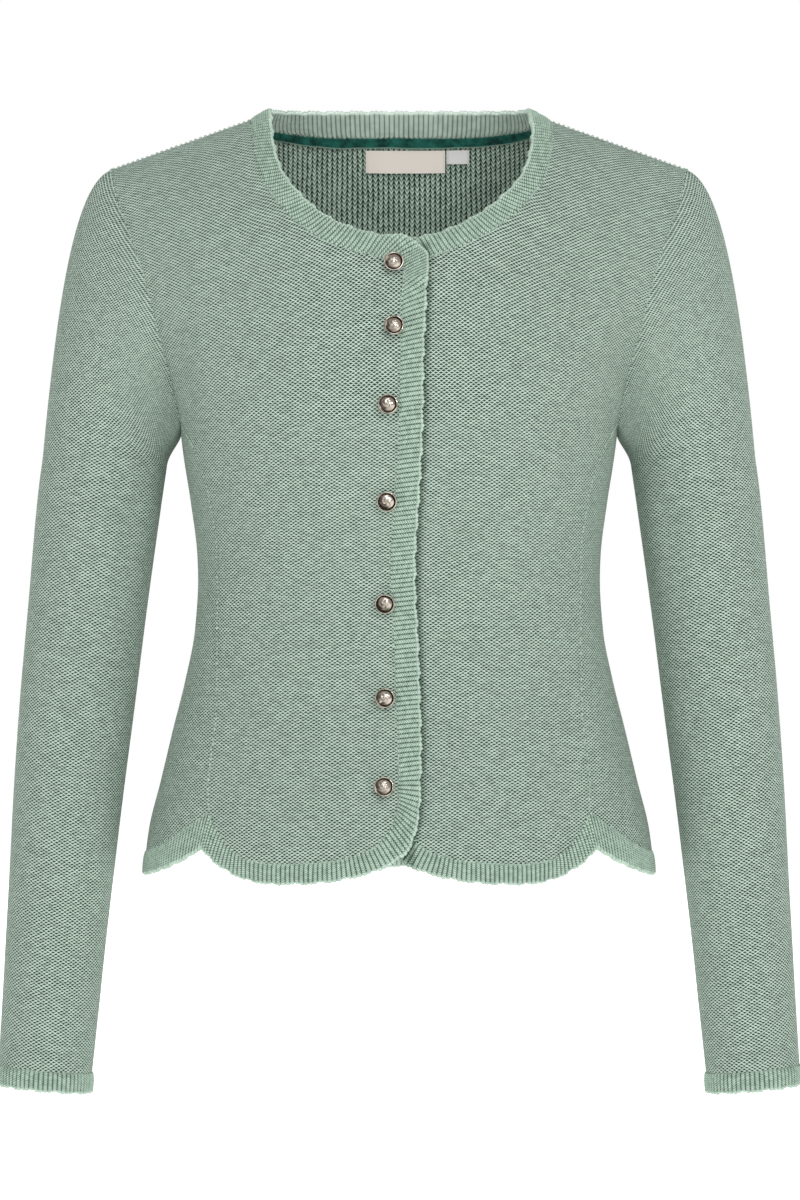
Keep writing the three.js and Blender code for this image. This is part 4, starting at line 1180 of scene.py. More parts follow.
@dataclass
class SeamStitching:
    """Loops of the garment's own yarn along its seams."""

    form: TorsoForm
    trims: RibTrims
    sleeve: Sleeve
    # How high the middle of a loop stands, and how strongly it curves down to its two ends
    height: float = 0.55
    dip: float = 1.2

    def loops(self, path: Array, normals: Array, way: StitchWay) -> tuple[Array, Array]:
        """Small loops along a path.

        Args:
            path: points of the seam.
            normals: outward directions at the points.
            way: how the loops lie.

        Returns:
            Points and triangles.
        """
        sizes, length = way.value, walked(path)
        count = max(2, round(length[-1] / sizes.pitch))
        at = (np.arange(count) + 0.5) * length[-1] / count
        where = np.stack([np.interp(at, length, path[:, k]) for k in range(3)], axis=1)
        up = unit(np.stack([np.interp(at, length, normals[:, k]) for k in range(3)], axis=1))
        tangent = np.gradient(path, length, axis=0)
        along = unit(np.stack([np.interp(at, length, tangent[:, k]) for k in range(3)], axis=1))
        side = unit(np.cross(up, along))
        slant = math.radians(sizes.slant)
        shape, faces = self.loop_shape()
        bowed = shape[:, 2:] * sizes.radius + self.height - self.dip * shape[:, :1] ** 2
        points = []
        for hand in sizes.hands:
            lengthwise = along * math.cos(slant) + side * hand * math.sin(slant)
            sidewise = unit(np.cross(up, lengthwise))
            centre = where + side * hand * sizes.reach
            points.append(centre[:, None] + lengthwise[:, None] * shape[:, :1] * sizes.length
                          + sidewise[:, None] * shape[:, 1:2] * sizes.radius + up[:, None] * bowed)
        points = np.concatenate(points)
        numbers = np.arange(len(points))[:, None, None] * len(shape) + faces
        return points.reshape(-1, 3), numbers.reshape(-1, 3)

    @staticmethod
    def loop_shape() -> tuple[Array, Array]:
        """One loop, of length and radius one.

        Returns:
            Points and triangles.
        """
        sides = 6
        turn = 2 * math.pi * np.arange(sides) / sides
        rings = [(-0.36, 0.72), (0, 1), (0.36, 0.72)]
        points = [[-0.5, 0, 0]]
        points += [[x, r * math.cos(a), r * math.sin(a)] for x, r in rings for a in turn]
        points += [[0.5, 0, 0]]
        faces, end = [], len(points) - 1
        for k in range(sides):
            n = (k + 1) % sides
            faces.append([0, 1 + n, 1 + k])
            for ring in range(len(rings) - 1):
                a, b = 1 + ring * sides + k, 1 + ring * sides + n
                faces += [[a, b, b + sides], [a, b + sides, a + sides]]
            last = 1 + (len(rings) - 1) * sides
            faces.append([last + k, last + n, end])
        return np.array(points), np.array(faces)

    def seams(self) -> dict[str, list[tuple[Array, Array, StitchWay]]]:
        """The lines of the seams.

        Returns:
            Points, outward directions and the way of each seam, by the name of their piece.
        """
        form = self.form
        level = np.linspace(form.notch_level, form.arm_level, 240)
        turn = form.seam_turn(level)
        x = np.linspace(form.neck_half, form.shoulder_half, 60)
        shoulder = form.turn_at(x, 0 * x)
        armhole, armhole_normals = self.sleeve.armhole()
        closed = [np.concatenate([one, one[:1]]) for one in (armhole, armhole_normals)]
        flip = np.array([-1, 1, 1])
        found: dict[str, list[tuple[Array, Array, StitchWay]]] = {}
        for hand, sign in (("left", 1), ("right", -1)):
            under = hand == "left"
            found[f"seams_{hand}"] = [
                (*form.place(sign * turn, level), StitchWay.CHAIN),
                (*form.place(sign * (math.pi - turn), level), StitchWay.CHAIN),
                (*form.place(sign * shoulder, 0 * x), StitchWay.CHAIN),
                (*(one if under else one * flip for one in closed), StitchWay.CHAIN),
            ]
        for node, (strip, _) in self.trims.strips().items():
            found[f"linking_{node}"] = [(strip.seam, strip.seam_normals, StitchWay.LINK)]
        return found

    def build(self, yarn: bpy.types.Material) -> None:
        """Make the loops of every seam.

        Args:
            yarn: the garment's yarn.
        """
        for name, seams in self.seams().items():
            points, faces, count = [], [], 0
            for path, normals, way in seams:
                new_points, new_faces = self.loops(path, normals, way)
                points.append(new_points)
                faces.append(new_faces + count)
                count += len(new_points)
            piece = build_mesh(name, np.concatenate(points), np.concatenate(faces), None, None, [yarn])
            dress(piece, "rib" if name.startswith("linking") else "knit")


@dataclass
class NeckFinish:
    """Velvet tape over the back neck seam, and the bare label and size tab below it."""

    form: TorsoForm
    panels: BodyPanels
    wall: float = 2.2
    tape_width: float = 7.5
    tape_ends: tuple[float, float] = (0.272, 0.728)
    tape_lift: float = 0.7
    tape_grid: tuple[int, int] = (12, 150)
    # left edge, right edge, top edge and height
    label: tuple[float, float, float, float] = (-22.0, 30.5, -15.5, 14.3)
    size_tab: tuple[float, float, float, float] = (31.4, 46.4, -15.5, 8.5)
    label_lift: float = 0.5
    patch_grid: tuple[int, int] = (15, 45)
    # How thick the tape, the label and the folded tab are
    thicknesses: tuple[float, float, float] = (1.0, 0.45, 0.4)
    tape_cut: Cut = Cut(10, 200, 0.75)
    label_cut: Cut = Cut(52.5, 15.5)
    tab_cut: Cut = Cut(15, 10, 0.85)

    def tape_wall(self) -> ClothWall:
        """The tape, hung down from the seam along the panel's inner side.

        Returns:
            The wall.
        """
        rows_down, columns = self.tape_grid
        share = np.linspace(*self.tape_ends, columns)
        x, turn, level = self.panels.back_top(share)
        drop = np.linspace(0, 16, 40)[:, None]
        at, normals = self.form.place(math.pi - turn, level - drop)
        skin = at - normals * self.wall
        length = walked(skin.transpose(1, 0, 2))
        wave = 0.25 * np.sin(x / 9.0) + 0.15 * np.sin(x / 3.7)
        rows = []
        for down in np.linspace(0.5, self.tape_width, rows_down):
            rows.append([[np.interp(down + wave[c] * down / 8, length[c], skin[:, c, k])
                          for k in range(3)] for c in range(columns)])
        points, normal = np.array(rows), normals[:rows_down]
        out = points - normal * self.tape_lift
        across = walked(points) + 0 * points[..., 0]
        up = np.broadcast_to(np.linspace(0, self.tape_width, rows_down)[:, None], across.shape)
        return ClothWall(out, out - normal * self.thicknesses[0], np.stack([across, up], axis=-1))

    def patch_wall(self, patch: tuple[float, float, float, float], thickness: float) -> ClothWall:
        """A flat piece sewn on the back's inner side.

        Args:
            patch: left and right edge seen from the front, top edge and height.
            thickness: how thick it is.

        Returns:
            The wall.
        """
        left, right, top, height = patch
        rows, columns = self.patch_grid
        x, z = np.meshgrid(np.linspace(left, right, columns), np.linspace(top, top - height, rows))
        guess_x, guess_z = x.copy(), z.copy()
        # Six corrections bring every point under its place on the curved cloth
        for _ in range(6):
            at, normals = self.form.place(*self.form.locate(guess_x, guess_z, False))
            skin = at - normals * self.wall
            guess_x += x - skin[..., 0]
            guess_z += z - skin[..., 2]
        share_x, share_z = (x - left) / (right - left), (top - z) / height
        loose = 0.7 * np.sin(math.pi * share_x) ** 0.5 * share_z ** 1.5 + 0.1 * np.sin(share_x * 9)
        out = skin - normals * (self.label_lift + loose)[..., None]
        flat = np.stack([x - left, top - z], axis=-1)
        return ClothWall(out, out - normals * thickness, flat)

    def build(self, velvet: bpy.types.Material, satin: bpy.types.Material,
              tab: bpy.types.Material) -> None:
        """Make the tape, the label and the tab.

        Args:
            velvet: pile of the tape.
            satin: weave of the label.
            tab: weave of the size tab.
        """
        tape = self.tape_wall().build("velvet_neck_tape", velvet, velvet)
        self.tape_cut.declare(dress(tape, "velvet_tape", "neck_tape"))
        label = self.patch_wall(self.label, self.thicknesses[1])
        label = label.build("woven_neck_label", satin, satin)
        self.label_cut.declare(dress(label, "woven_label", "neck_label"))
        size = self.patch_wall(self.size_tab, self.thicknesses[2])
        size = size.build("woven_size_tab", tab, tab)
        self.tab_cut.declare(dress(size, "woven_tab", "size_tab"))


@dataclass
class ShankButtons:
    """Domed metal shank buttons with a corded rim and a small swirl of leaves."""

    form: TorsoForm
    radius: float = 6.4
    shank_length: float = 2.6
    lift: float = 0.5
    sides: int = 72
    # How high the ornament and the cord of the rim stand, and the turns of that cord
    ornament_height: float = 0.22
    cord_height: float = 0.05
    cord_turns: int = 36
    places: tuple[tuple[float, float], ...] = (
        (-3.2, -98.7), (-3.1, -139.3), (-6.9, -188.9), (-7.6, -249.5), (-8.9, -313.9),
        (-8.9, -374.8), (-9.5, -430.9),
    )
    # radius and height above the shank, both as shares, and how much of the relief shows there
    profile: tuple[tuple[float, float, float], ...] = (
        (0.0, -0.4, 0), (0.34, -0.4, 0), (0.34, 0.0, 0), (0.9, 0.02, 0), (0.97, 0.07, 0),
        (1.0, 0.15, 0.1), (0.99, 0.22, 0.25), (0.95, 0.27, 0.3), (0.9, 0.28, 0.3), (0.86, 0.24, 0.1),
        (0.83, 0.15, 0), (0.79, 0.14, 0), (0.76, 0.2, 0.1), (0.72, 0.27, 0.2), (0.66, 0.34, 0.5),
        (0.58, 0.41, 0.9), (0.5, 0.465, 1), (0.41, 0.515, 1), (0.32, 0.55, 1), (0.23, 0.575, 0.9),
        (0.14, 0.59, 0.8), (0.07, 0.597, 0.5), (0.0, 0.6, 0),
    )

    def shape(self, turn: float) -> tuple[Array, Array]:
        """One button with its axis along +Z.

        Args:
            turn: how far the ornament is turned, in radians.

        Returns:
            Points and quads.
        """
        sides = self.sides
        angles = 2 * math.pi * np.arange(sides) / sides
        rows = np.array(self.profile)
        radius, height, relief = (rows[:, k][:, None] for k in range(3))
        swirl = np.sin(4 * (angles + turn) + 7 * radius) * np.cos(9 * radius + 0.4)
        cord = np.sin(self.cord_turns * angles) * np.exp(-(((radius - 0.93) / 0.05) ** 2))
        raised = height * self.radius + relief * self.ornament_height * swirl + self.cord_height * cord
        # The rows below the plate stand for the whole shank
        raised = np.where(height < 0, height / -rows[0, 1] * self.shank_length, raised)
        across = radius * self.radius * np.ones_like(angles)
        points = np.stack([across * np.cos(angles), across * np.sin(angles),
                           raised * np.ones_like(angles) + self.shank_length], axis=-1)
        r, c = np.meshgrid(np.arange(len(rows) - 1), np.arange(sides), indexing="ij")
        r, c = r.ravel(), c.ravel()
        n = (c + 1) % sides
        quads = np.stack([r * sides + c, r * sides + n, (r + 1) * sides + n, (r + 1) * sides + c], axis=1)
        return points.reshape(-1, 3), quads

    def build(self, metal: bpy.types.Material) -> None:
        """Make the buttons on the closing edge.

        Args:
            metal: the buttons' metal.
        """
        for number, (x, z) in enumerate(self.places, start=1):
            at, normal = self.form.place(*self.form.locate(np.array(x), np.array(z)))
            points, quads = self.shape(0.9 * number)
            turn = Vector((0, 0, 1)).rotation_difference(Vector(normal)).to_matrix()
            points = points @ np.array(turn).T + at + normal * self.lift
            name = f"shank_button_{number}"
            piece = build_mesh(name, points, quads, None, None, [metal], 40.0)
            self.close_centres(piece)
            dress(piece, "button_metal", f"button_{number}")

    @staticmethod
    def close_centres(piece: bpy.types.Object) -> None:
        """Join the points that meet on the axis, so that the button is one closed solid.

        Args:
            piece: the button.
        """
        shell = bmesh.new()
        shell.from_mesh(piece.data)
        bmesh.ops.remove_doubles(shell, verts=shell.verts, dist=0.00001)
        bmesh.ops.recalc_face_normals(shell, faces=shell.faces)
        shell.to_mesh(piece.data)
        shell.free()


def linear(hex_colour: str) -> tuple[float, float, float, float]:
    """An sRGB hex colour as linear red, green, blue and alpha.

    Args:
        hex_colour: six hex digits.

    Returns:
        The linear colour.
    """
    shares = (int(hex_colour[k:k + 2], 16) / 255 for k in (0, 2, 4))
    return (*(s / 12.92 if s <= 0.04045 else ((s + 0.055) / 1.055) ** 2.4 for s in shares), 1.0)


def add_node(tree: bpy.types.NodeTree, kind: str, inputs: dict | None = None,
             **settings: object) -> bpy.types.Node:
    """Add a shader node with its settings and links.

    Args:
        tree: the node tree.
        kind: the node's type, without its first word ShaderNode.
        inputs: values, or nodes or sockets to link from, by the input's name or number.
        settings: the node's own settings.

    Returns:
        The node.
    """
    node = tree.nodes.new(f"ShaderNode{kind}")
    for name, value in settings.items():
        setattr(node, name, value)
    for key, value in (inputs or {}).items():
        if isinstance(value, bpy.types.Node):
            value = value.outputs[0]
        if isinstance(value, bpy.types.NodeSocket):
            tree.links.new(value, node.inputs[key])
        else:
            node.inputs[key].default_value = value
    return node


def new_material(name: str) -> tuple[bpy.types.Material, bpy.types.NodeTree, bpy.types.Node]:
    """Start a material.

    Args:
        name: the material's name.

    Returns:
        The material, its node tree and its shader.
    """
    material = bpy.data.materials.new(name)
    material.use_nodes = True
    tree = material.node_tree
    shader = next(node for node in tree.nodes if node.type == "BSDF_PRINCIPLED")
    return material, tree, shader


def set_ramp(node: bpy.types.Node, stops: Sequence[tuple[float, str]]) -> None:
    """Set a colour ramp's stops.

    Args:
        node: the ramp.
        stops: each stop's place and hex colour.
    """
    ramp = node.color_ramp
    while len(ramp.elements) < len(stops):
        ramp.elements.new(0.5)
    for element, (place, colour) in zip(ramp.elements, stops):
        element.position, element.color = place, linear(colour)


class KnitFace(Enum):
    """The side of a knitted cloth that shows."""

    PURL = "rows of interlocked arcs"
    PLAIN = "columns of small Vs"
    RIB = "columns of small Vs on raised ribs"


@dataclass(frozen=True)
class KnitFinish:
    """Cotton yarn knitted on a coarse machine, in a light and dark green melange.

    The yarn is matt with a thin fuzz and its loops stand round; it is painted light on the loops and
    painted shade towards the dark holes between them.
    """

    name: str
    face: KnitFace
    wale_mm: float
    row_mm: float
    # Painted light and shade: light is a loop's lit crest, middle and shade the painted shade down its
    # sides, hole the painted shade in the holes
    light: str
    middle: str
    shade: str
    hole: str
    relief_mm: float = 0.45
    wander_mm: float = 1.1
    # How much the two greens, single stitches, lengths of yarn and the lap's shade darken it
    melange: float = 0.28
    stitch_tone: float = 0.12
    length_tone: float = 0.04
    lap_tone: float = 0.24
    # Where the light, middle, shade and hole colours stand on the way from yarn to hole
    stops: tuple[float, float, float, float] = (0.02, 0.29, 0.46, 0.64)
    bump: float = 0.8
    roughness: float = 0.92
    fuzz: float = 0.2

    def material(self) -> bpy.types.Material:
        """The finish as a material.

        Returns:
            The material.
        """
        material, tree, shader = new_material(self.name)
        flat = add_node(tree, "UVMap", uv_map="knit")
        # The loops wander by part of a millimetre over some 11 mm of cloth
        wander = add_node(tree, "TexNoise", {"Vector": flat, "Scale": 0.09, "Detail": 2.0},
                          noise_dimensions="2D")
        centred = add_node(tree, "VectorMath", {0: wander.outputs["Color"], 1: (-0.5, -0.5, 0)},
                           operation="ADD")
        moved = add_node(tree, "VectorMath", {0: centred, 1: (self.wander_mm,) * 3, 2: flat},
                         operation="MULTIPLY_ADD")
        split = add_node(tree, "SeparateXYZ", {0: moved})
        across, along = split.outputs[0], split.outputs[1]
        faces = {KnitFace.PURL: self.purl, KnitFace.PLAIN: self.plain, KnitFace.RIB: self.ribbed}
        # Painted shade: the farther a place lies from the yarn, the darker its colour, down to the holes
        # and grooves
        away = faces[self.face](tree, across, along)
        # Each stitch takes its own tone, and fibres of two greens lie side by side in the yarn
        cells = add_node(tree, "VectorMath", {0: moved, 1: (1 / self.wale_mm, 1 / self.row_mm, 1)},
                         operation="MULTIPLY")
        tone = add_node(tree, "TexVoronoi", {"Vector": cells, "Scale": 1.0}, voronoi_dimensions="2D")
        fibres = add_node(tree, "TexNoise", {"Vector": flat, "Scale": 2.6, "Detail": 3.0,
                                             "Roughness": 0.7}, noise_dimensions="2D")
        # Darker and lighter lengths of yarn, a row or two high and a few centimetres long
        stretched = add_node(tree, "VectorMath", {0: flat, 1: (0.03, 0.45, 1)}, operation="MULTIPLY")
        lengths = add_node(tree, "TexNoise", {"Vector": stretched, "Scale": 1.0, "Detail": 2.0},
                           noise_dimensions="2D")
        tints = add_node(tree, "SeparateColor", {0: tone.outputs["Color"]})
        tone_and_shade = add_node(tree, "Math", {0: tints.outputs[0], 1: self.stitch_tone, 2: away},
                          operation="MULTIPLY_ADD")
        tone_and_shade = add_node(tree, "Math", {0: fibres, 1: self.melange, 2: tone_and_shade}, operation="MULTIPLY_ADD")
        tone_and_shade = add_node(tree, "Math", {0: lengths, 1: self.length_tone, 2: tone_and_shade},
                          operation="MULTIPLY_ADD")
        # Beside the edge that laps over it, the left front lies in shade
        lap = add_node(tree, "Attribute", attribute_name="lap_shade")
        tone_and_shade = add_node(tree, "Math", {0: lap.outputs["Fac"], 1: self.lap_tone, 2: tone_and_shade},
                          operation="MULTIPLY_ADD")
        # Half of the yarn's three tones is taken off again, which keeps the cloth's mean colour
        middle_tone = (self.melange + self.stitch_tone + self.length_tone) / 2
        shown = add_node(tree, "Math", {0: tone_and_shade, 1: middle_tone}, operation="SUBTRACT")
        ramp = add_node(tree, "ValToRGB", {0: shown})
        set_ramp(ramp, tuple(zip(self.stops, (self.light, self.middle, self.shade, self.hole))))
        tree.links.new(ramp.outputs[0], shader.inputs["Base Color"])
        rounded = add_node(tree, "Math", {0: away, 1: 2.0}, operation="POWER")
        height = add_node(tree, "Math", {0: rounded, 1: -1.0, 2: 1.0}, operation="MULTIPLY_ADD")
        fuzzy = add_node(tree, "Math", {0: fibres, 1: 0.25, 2: height}, operation="MULTIPLY_ADD")
        bump = add_node(tree, "Bump", {"Height": fuzzy, "Strength": self.bump,
                                       "Distance": self.relief_mm * MM})
        tree.links.new(bump.outputs[0], shader.inputs["Normal"])
        shader.inputs["Roughness"].default_value = self.roughness
        shader.inputs["Specular IOR Level"].default_value = 0.25
        shader.inputs["Sheen Weight"].default_value = self.fuzz
        shader.inputs["Sheen Roughness"].default_value = 0.6
        shader.inputs["Sheen Tint"].default_value = linear(self.light)
        return material

    def purl(self, tree: bpy.types.NodeTree, across: bpy.types.NodeSocket,
             along: bpy.types.NodeSocket) -> bpy.types.Node:
        """Distance from the nearest arc of yarn on the purl side: 0 on it, near 1 in a hole.

        Args:
            tree: the node tree.
            across: millimetres across the rows.
            along: millimetres up the rows.

        Returns:
            The node that gives it.
        """
        row = add_node(tree, "Math", {0: along, 1: self.row_mm}, operation="DIVIDE")
        number = add_node(tree, "Math", {0: row}, operation="FLOOR")
        share = add_node(tree, "Math", {0: row, 1: number}, operation="SUBTRACT")
        angle = add_node(tree, "Math", {0: across, 1: 2 * math.pi / self.wale_mm}, operation="MULTIPLY")
        leaning = add_node(tree, "Math", {0: share, 1: 0.3, 2: angle}, operation="MULTIPLY_ADD")
        turned = add_node(tree, "Math", {0: number, 1: math.pi, 2: leaning}, operation="MULTIPLY_ADD")
        wave = add_node(tree, "Math", {0: turned}, operation="COSINE")
        centre = add_node(tree, "Math", {0: wave, 1: 0.3, 2: 0.5}, operation="MULTIPLY_ADD")
        gap = add_node(tree, "Math", {0: share, 1: centre}, operation="SUBTRACT")
        distance = add_node(tree, "Math", {0: gap}, operation="ABSOLUTE")
        return add_node(tree, "Math", {0: distance, 1: 1.25}, operation="MULTIPLY")

    def columns(self, tree: bpy.types.NodeTree, across: bpy.types.NodeSocket,
                along: bpy.types.NodeSocket, legs: float, groove: float,
                narrow: float) -> bpy.types.Node:
        """Distance from the nearest leg in columns of small Vs: 0 on it, near 1 between.

        Args:
            tree: the node tree.
            across: millimetres across the columns.
            along: millimetres along them.
            legs: how dark the painted shade is between two Vs of a column.
            groove: how dark the painted shade is between two columns.
            narrow: how narrow that groove is, as a power.

        Returns:
            The node that gives it.
        """
        wale = add_node(tree, "Math", {0: across, 1: self.wale_mm}, operation="DIVIDE")
        place = add_node(tree, "Math", {0: wale}, operation="FRACT")
        offset = add_node(tree, "Math", {0: place, 1: 0.5}, operation="SUBTRACT")
        side = add_node(tree, "Math", {0: offset}, operation="ABSOLUTE")
        row = add_node(tree, "Math", {0: along, 1: self.row_mm}, operation="DIVIDE")
        slanted = add_node(tree, "Math", {0: side, 1: -2.0, 2: row}, operation="MULTIPLY_ADD")
        share = add_node(tree, "Math", {0: slanted}, operation="FRACT")
        gap = add_node(tree, "Math", {0: share, 1: 0.5}, operation="SUBTRACT")
        leg = add_node(tree, "Math", {0: gap}, operation="ABSOLUTE")
        wide = add_node(tree, "Math", {0: side, 1: 2.0}, operation="MULTIPLY")
        edge = add_node(tree, "Math", {0: wide, 1: narrow}, operation="POWER")
        deep = add_node(tree, "Math", {0: edge, 1: groove}, operation="MULTIPLY")
        return add_node(tree, "Math", {0: leg, 1: legs, 2: deep}, operation="MULTIPLY_ADD")

    def plain(self, tree: bpy.types.NodeTree, across: bpy.types.NodeSocket,
              along: bpy.types.NodeSocket) -> bpy.types.Node:
        """The plain side: columns of Vs with a row of holes between two columns."""
        return self.columns(tree, across, along, 0.95, 0.45, 2.5)

    def ribbed(self, tree: bpy.types.NodeTree, across: bpy.types.NodeSocket,
               along: bpy.types.NodeSocket) -> bpy.types.Node:
        """Ribs of Vs with narrow grooves, which end at a light cord along the free edge."""
        ribs = self.columns(tree, across, along, 0.85, 0.5, 5.0)
        cord = add_node(tree, "MapRange", {0: along, 1: 0.9, 2: 2.0, 3: 0.35, 4: 1.0})
        return add_node(tree, "Math", {0: ribs, 1: cord}, operation="MULTIPLY")


@dataclass(frozen=True)
class YarnFinish:
    """The same melange yarn laid along a seam in loops: matt, round and lighter than the cloth."""

    name: str = "cotton melange yarn, plied, linking loops"
    light: str = "bccdc0"
    dark: str = "82988a"

    def material(self) -> bpy.types.Material:
        """The finish as a material.

        Returns:
            The material.
        """
        material, tree, shader = new_material(self.name)
        place = add_node(tree, "TexCoord")
        # Light and dark lengths of the yarn, a millimetre or two long
        fibres = add_node(tree, "TexNoise", {"Vector": place.outputs["Object"], "Scale": 700.0,
                                             "Detail": 2.0})
        ramp = add_node(tree, "ValToRGB", {0: fibres})
        set_ramp(ramp, ((0.38, self.dark), (0.6, self.light)))
        tree.links.new(ramp.outputs[0], shader.inputs["Base Color"])
        shader.inputs["Roughness"].default_value = 0.92
        shader.inputs["Specular IOR Level"].default_value = 0.25
        return material


@dataclass(frozen=True)
class VelvetFinish:
    """Cotton velvet tape: a short dense pile that darkens face on and glows at its edges."""

    name: str = "cotton velvet tape, woven pile"
    pile: str = "25685c"
    shade: str = "143a34"
    selvedge: str = "7f9a8c"
    glow: str = "5f9a8a"
    pile_mm: float = 6.6

    def material(self) -> bpy.types.Material:
        """The finish as a material, with a light woven selvedge along the lower edge.

        Returns:
            The material.
        """
        material, tree, shader = new_material(self.name)
        flat = add_node(tree, "UVMap", uv_map="knit")
        # Strokes of the pile lie over in patches some 8 mm long
        patches = add_node(tree, "TexNoise", {"Vector": flat, "Scale": 0.12, "Detail": 3.0,
                                              "Roughness": 0.65}, noise_dimensions="2D")
        ramp = add_node(tree, "ValToRGB", {0: patches})
        set_ramp(ramp, ((0.34, self.shade), (0.66, self.pile)))
        split = add_node(tree, "SeparateXYZ", {0: flat})
        edge = add_node(tree, "Math", {0: split.outputs[1], 1: self.pile_mm}, operation="GREATER_THAN")
        colour = add_node(tree, "Mix", {0: edge, 6: ramp, 7: linear(self.selvedge)}, data_type="RGBA")
        tree.links.new(colour.outputs[2], shader.inputs["Base Color"])
        pile = add_node(tree, "TexNoise", {"Vector": flat, "Scale": 3.0, "Detail": 2.0},
                        noise_dimensions="2D")
        bump = add_node(tree, "Bump", {"Height": pile, "Strength": 0.6, "Distance": 0.3 * MM})
        tree.links.new(bump.outputs[0], shader.inputs["Normal"])
        shader.inputs["Roughness"].default_value = 0.95
        shader.inputs["Specular IOR Level"].default_value = 0.2
        shader.inputs["Sheen Weight"].default_value = 0.7
        shader.inputs["Sheen Roughness"].default_value = 0.35
        shader.inputs["Sheen Tint"].default_value = linear(self.glow)
        return material


@dataclass(frozen=True)
class WovenFinish:
    """Polyester label satin, woven with threads 0.25 mm apart, folded and sewn at its ends.

    The threads are too fine to show in the render, so they are drawn 0.5 mm apart.
    """

    name: str
    thread: str
    shade: str
    width_mm: float
    thread_mm: float = 0.5
    fold_mm: float = 1.6

    def material(self) -> bpy.types.Material:
        """The finish as a material.

        Returns:
            The material.
        """
        material, tree, shader = new_material(self.name)
        flat = add_node(tree, "UVMap", uv_map="knit")
        scale = math.pi / (10 * self.thread_mm)
        warp = add_node(tree, "TexWave", {"Vector": flat, "Scale": scale, "Distortion": 0.6},
                        bands_direction="X")
        weft = add_node(tree, "TexWave", {"Vector": flat, "Scale": scale * 0.7, "Distortion": 0.6},
                        bands_direction="Y")
        woven = add_node(tree, "Math", {0: warp.outputs[1], 1: weft.outputs[1]}, operation="MULTIPLY")
        # Painted shade: the turned-in ends at the left and the right are drawn darker
        split = add_node(tree, "SeparateXYZ", {0: flat})
        centred = add_node(tree, "Math", {0: split.outputs[0], 1: self.width_mm / 2},
                           operation="SUBTRACT")
        reach = add_node(tree, "Math", {0: centred}, operation="ABSOLUTE")
        ends = add_node(tree, "Math", {0: reach, 1: self.width_mm / 2 - self.fold_mm},
                        operation="GREATER_THAN")
        dark = add_node(tree, "Math", {0: woven, 1: -0.35, 2: 0.4}, operation="MULTIPLY_ADD")
        shown = add_node(tree, "Math", {0: ends, 1: 0.3, 2: dark}, operation="MULTIPLY_ADD")
        ramp = add_node(tree, "ValToRGB", {0: shown})
        set_ramp(ramp, ((0.0, self.thread), (1.0, self.shade)))
        tree.links.new(ramp.outputs[0], shader.inputs["Base Color"])
        bump = add_node(tree, "Bump", {"Height": woven, "Strength": 0.4, "Distance": 0.08 * MM})
        tree.links.new(bump.outputs[0], shader.inputs["Normal"])
        shader.inputs["Roughness"].default_value = 0.55
        shader.inputs["Sheen Weight"].default_value = 0.15
        return material


@dataclass(frozen=True)
class AgedSilverFinish:
    """Stamped tin alloy, silver plated and darkened: bright where the plating wears, brown in its hollows,
    with painted light above and painted shade below.
    """

    name: str = "aged silver plate, stamped and darkened"
    bright: str = "c2b8ac"
    dark: str = "2c241e"
    # Way that the painted light comes from: the side of the button facing it is drawn brighter
    painted_light_towards: tuple[float, float, float] = (0.55, 0, 0.5)

    def material(self) -> bpy.types.Material:
        """The finish as a material.

        Returns:
            The material.
        """
        material, tree, shader = new_material(self.name)
        place = add_node(tree, "TexCoord")
        shape = add_node(tree, "NewGeometry")
        # Tarnish in spots about 2 mm across, and in every hollow of the stamping
        spots = add_node(tree, "TexNoise", {"Vector": place.outputs["Object"], "Scale": 480.0,
                                            "Detail": 4.0, "Roughness": 0.6})
        wear_and_painted_light = add_node(tree, "Math", {0: shape.outputs["Pointiness"], 1: 7.0, 2: -3.05},
                        operation="MULTIPLY_ADD")
        # Painted light and shade: the upper side towards the closing edge is drawn brighter, and the lower
        # side darker and browner
        painted_light_side = add_node(tree, "VectorMath", {0: shape.outputs["Normal"], 1: self.painted_light_towards},
                          operation="DOT_PRODUCT")
        wear_and_painted_light = add_node(tree, "Math", {0: painted_light_side.outputs["Value"], 1: 1.1, 2: wear_and_painted_light},
                        operation="MULTIPLY_ADD")
        shown = add_node(tree, "Math", {0: spots, 1: 0.5, 2: wear_and_painted_light}, operation="MULTIPLY_ADD")
        ramp = add_node(tree, "ValToRGB", {0: shown})
        set_ramp(ramp, ((0.25, self.dark), (0.95, self.bright)))
        tree.links.new(ramp.outputs[0], shader.inputs["Base Color"])
        rough = add_node(tree, "MapRange", {0: spots, 3: 0.16, 4: 0.3})
        tree.links.new(rough.outputs[0], shader.inputs["Roughness"])
        # Fine scratches and grain of the plating, about 0.3 mm
        grain = add_node(tree, "TexNoise", {"Vector": place.outputs["Object"], "Scale": 3200.0,
                                            "Detail": 2.0})
        bump = add_node(tree, "Bump", {"Height": grain, "Strength": 0.25, "Distance": 0.05 * MM})
        tree.links.new(bump.outputs[0], shader.inputs["Normal"])
        shader.inputs["Metallic"].default_value = 1.0
        return material


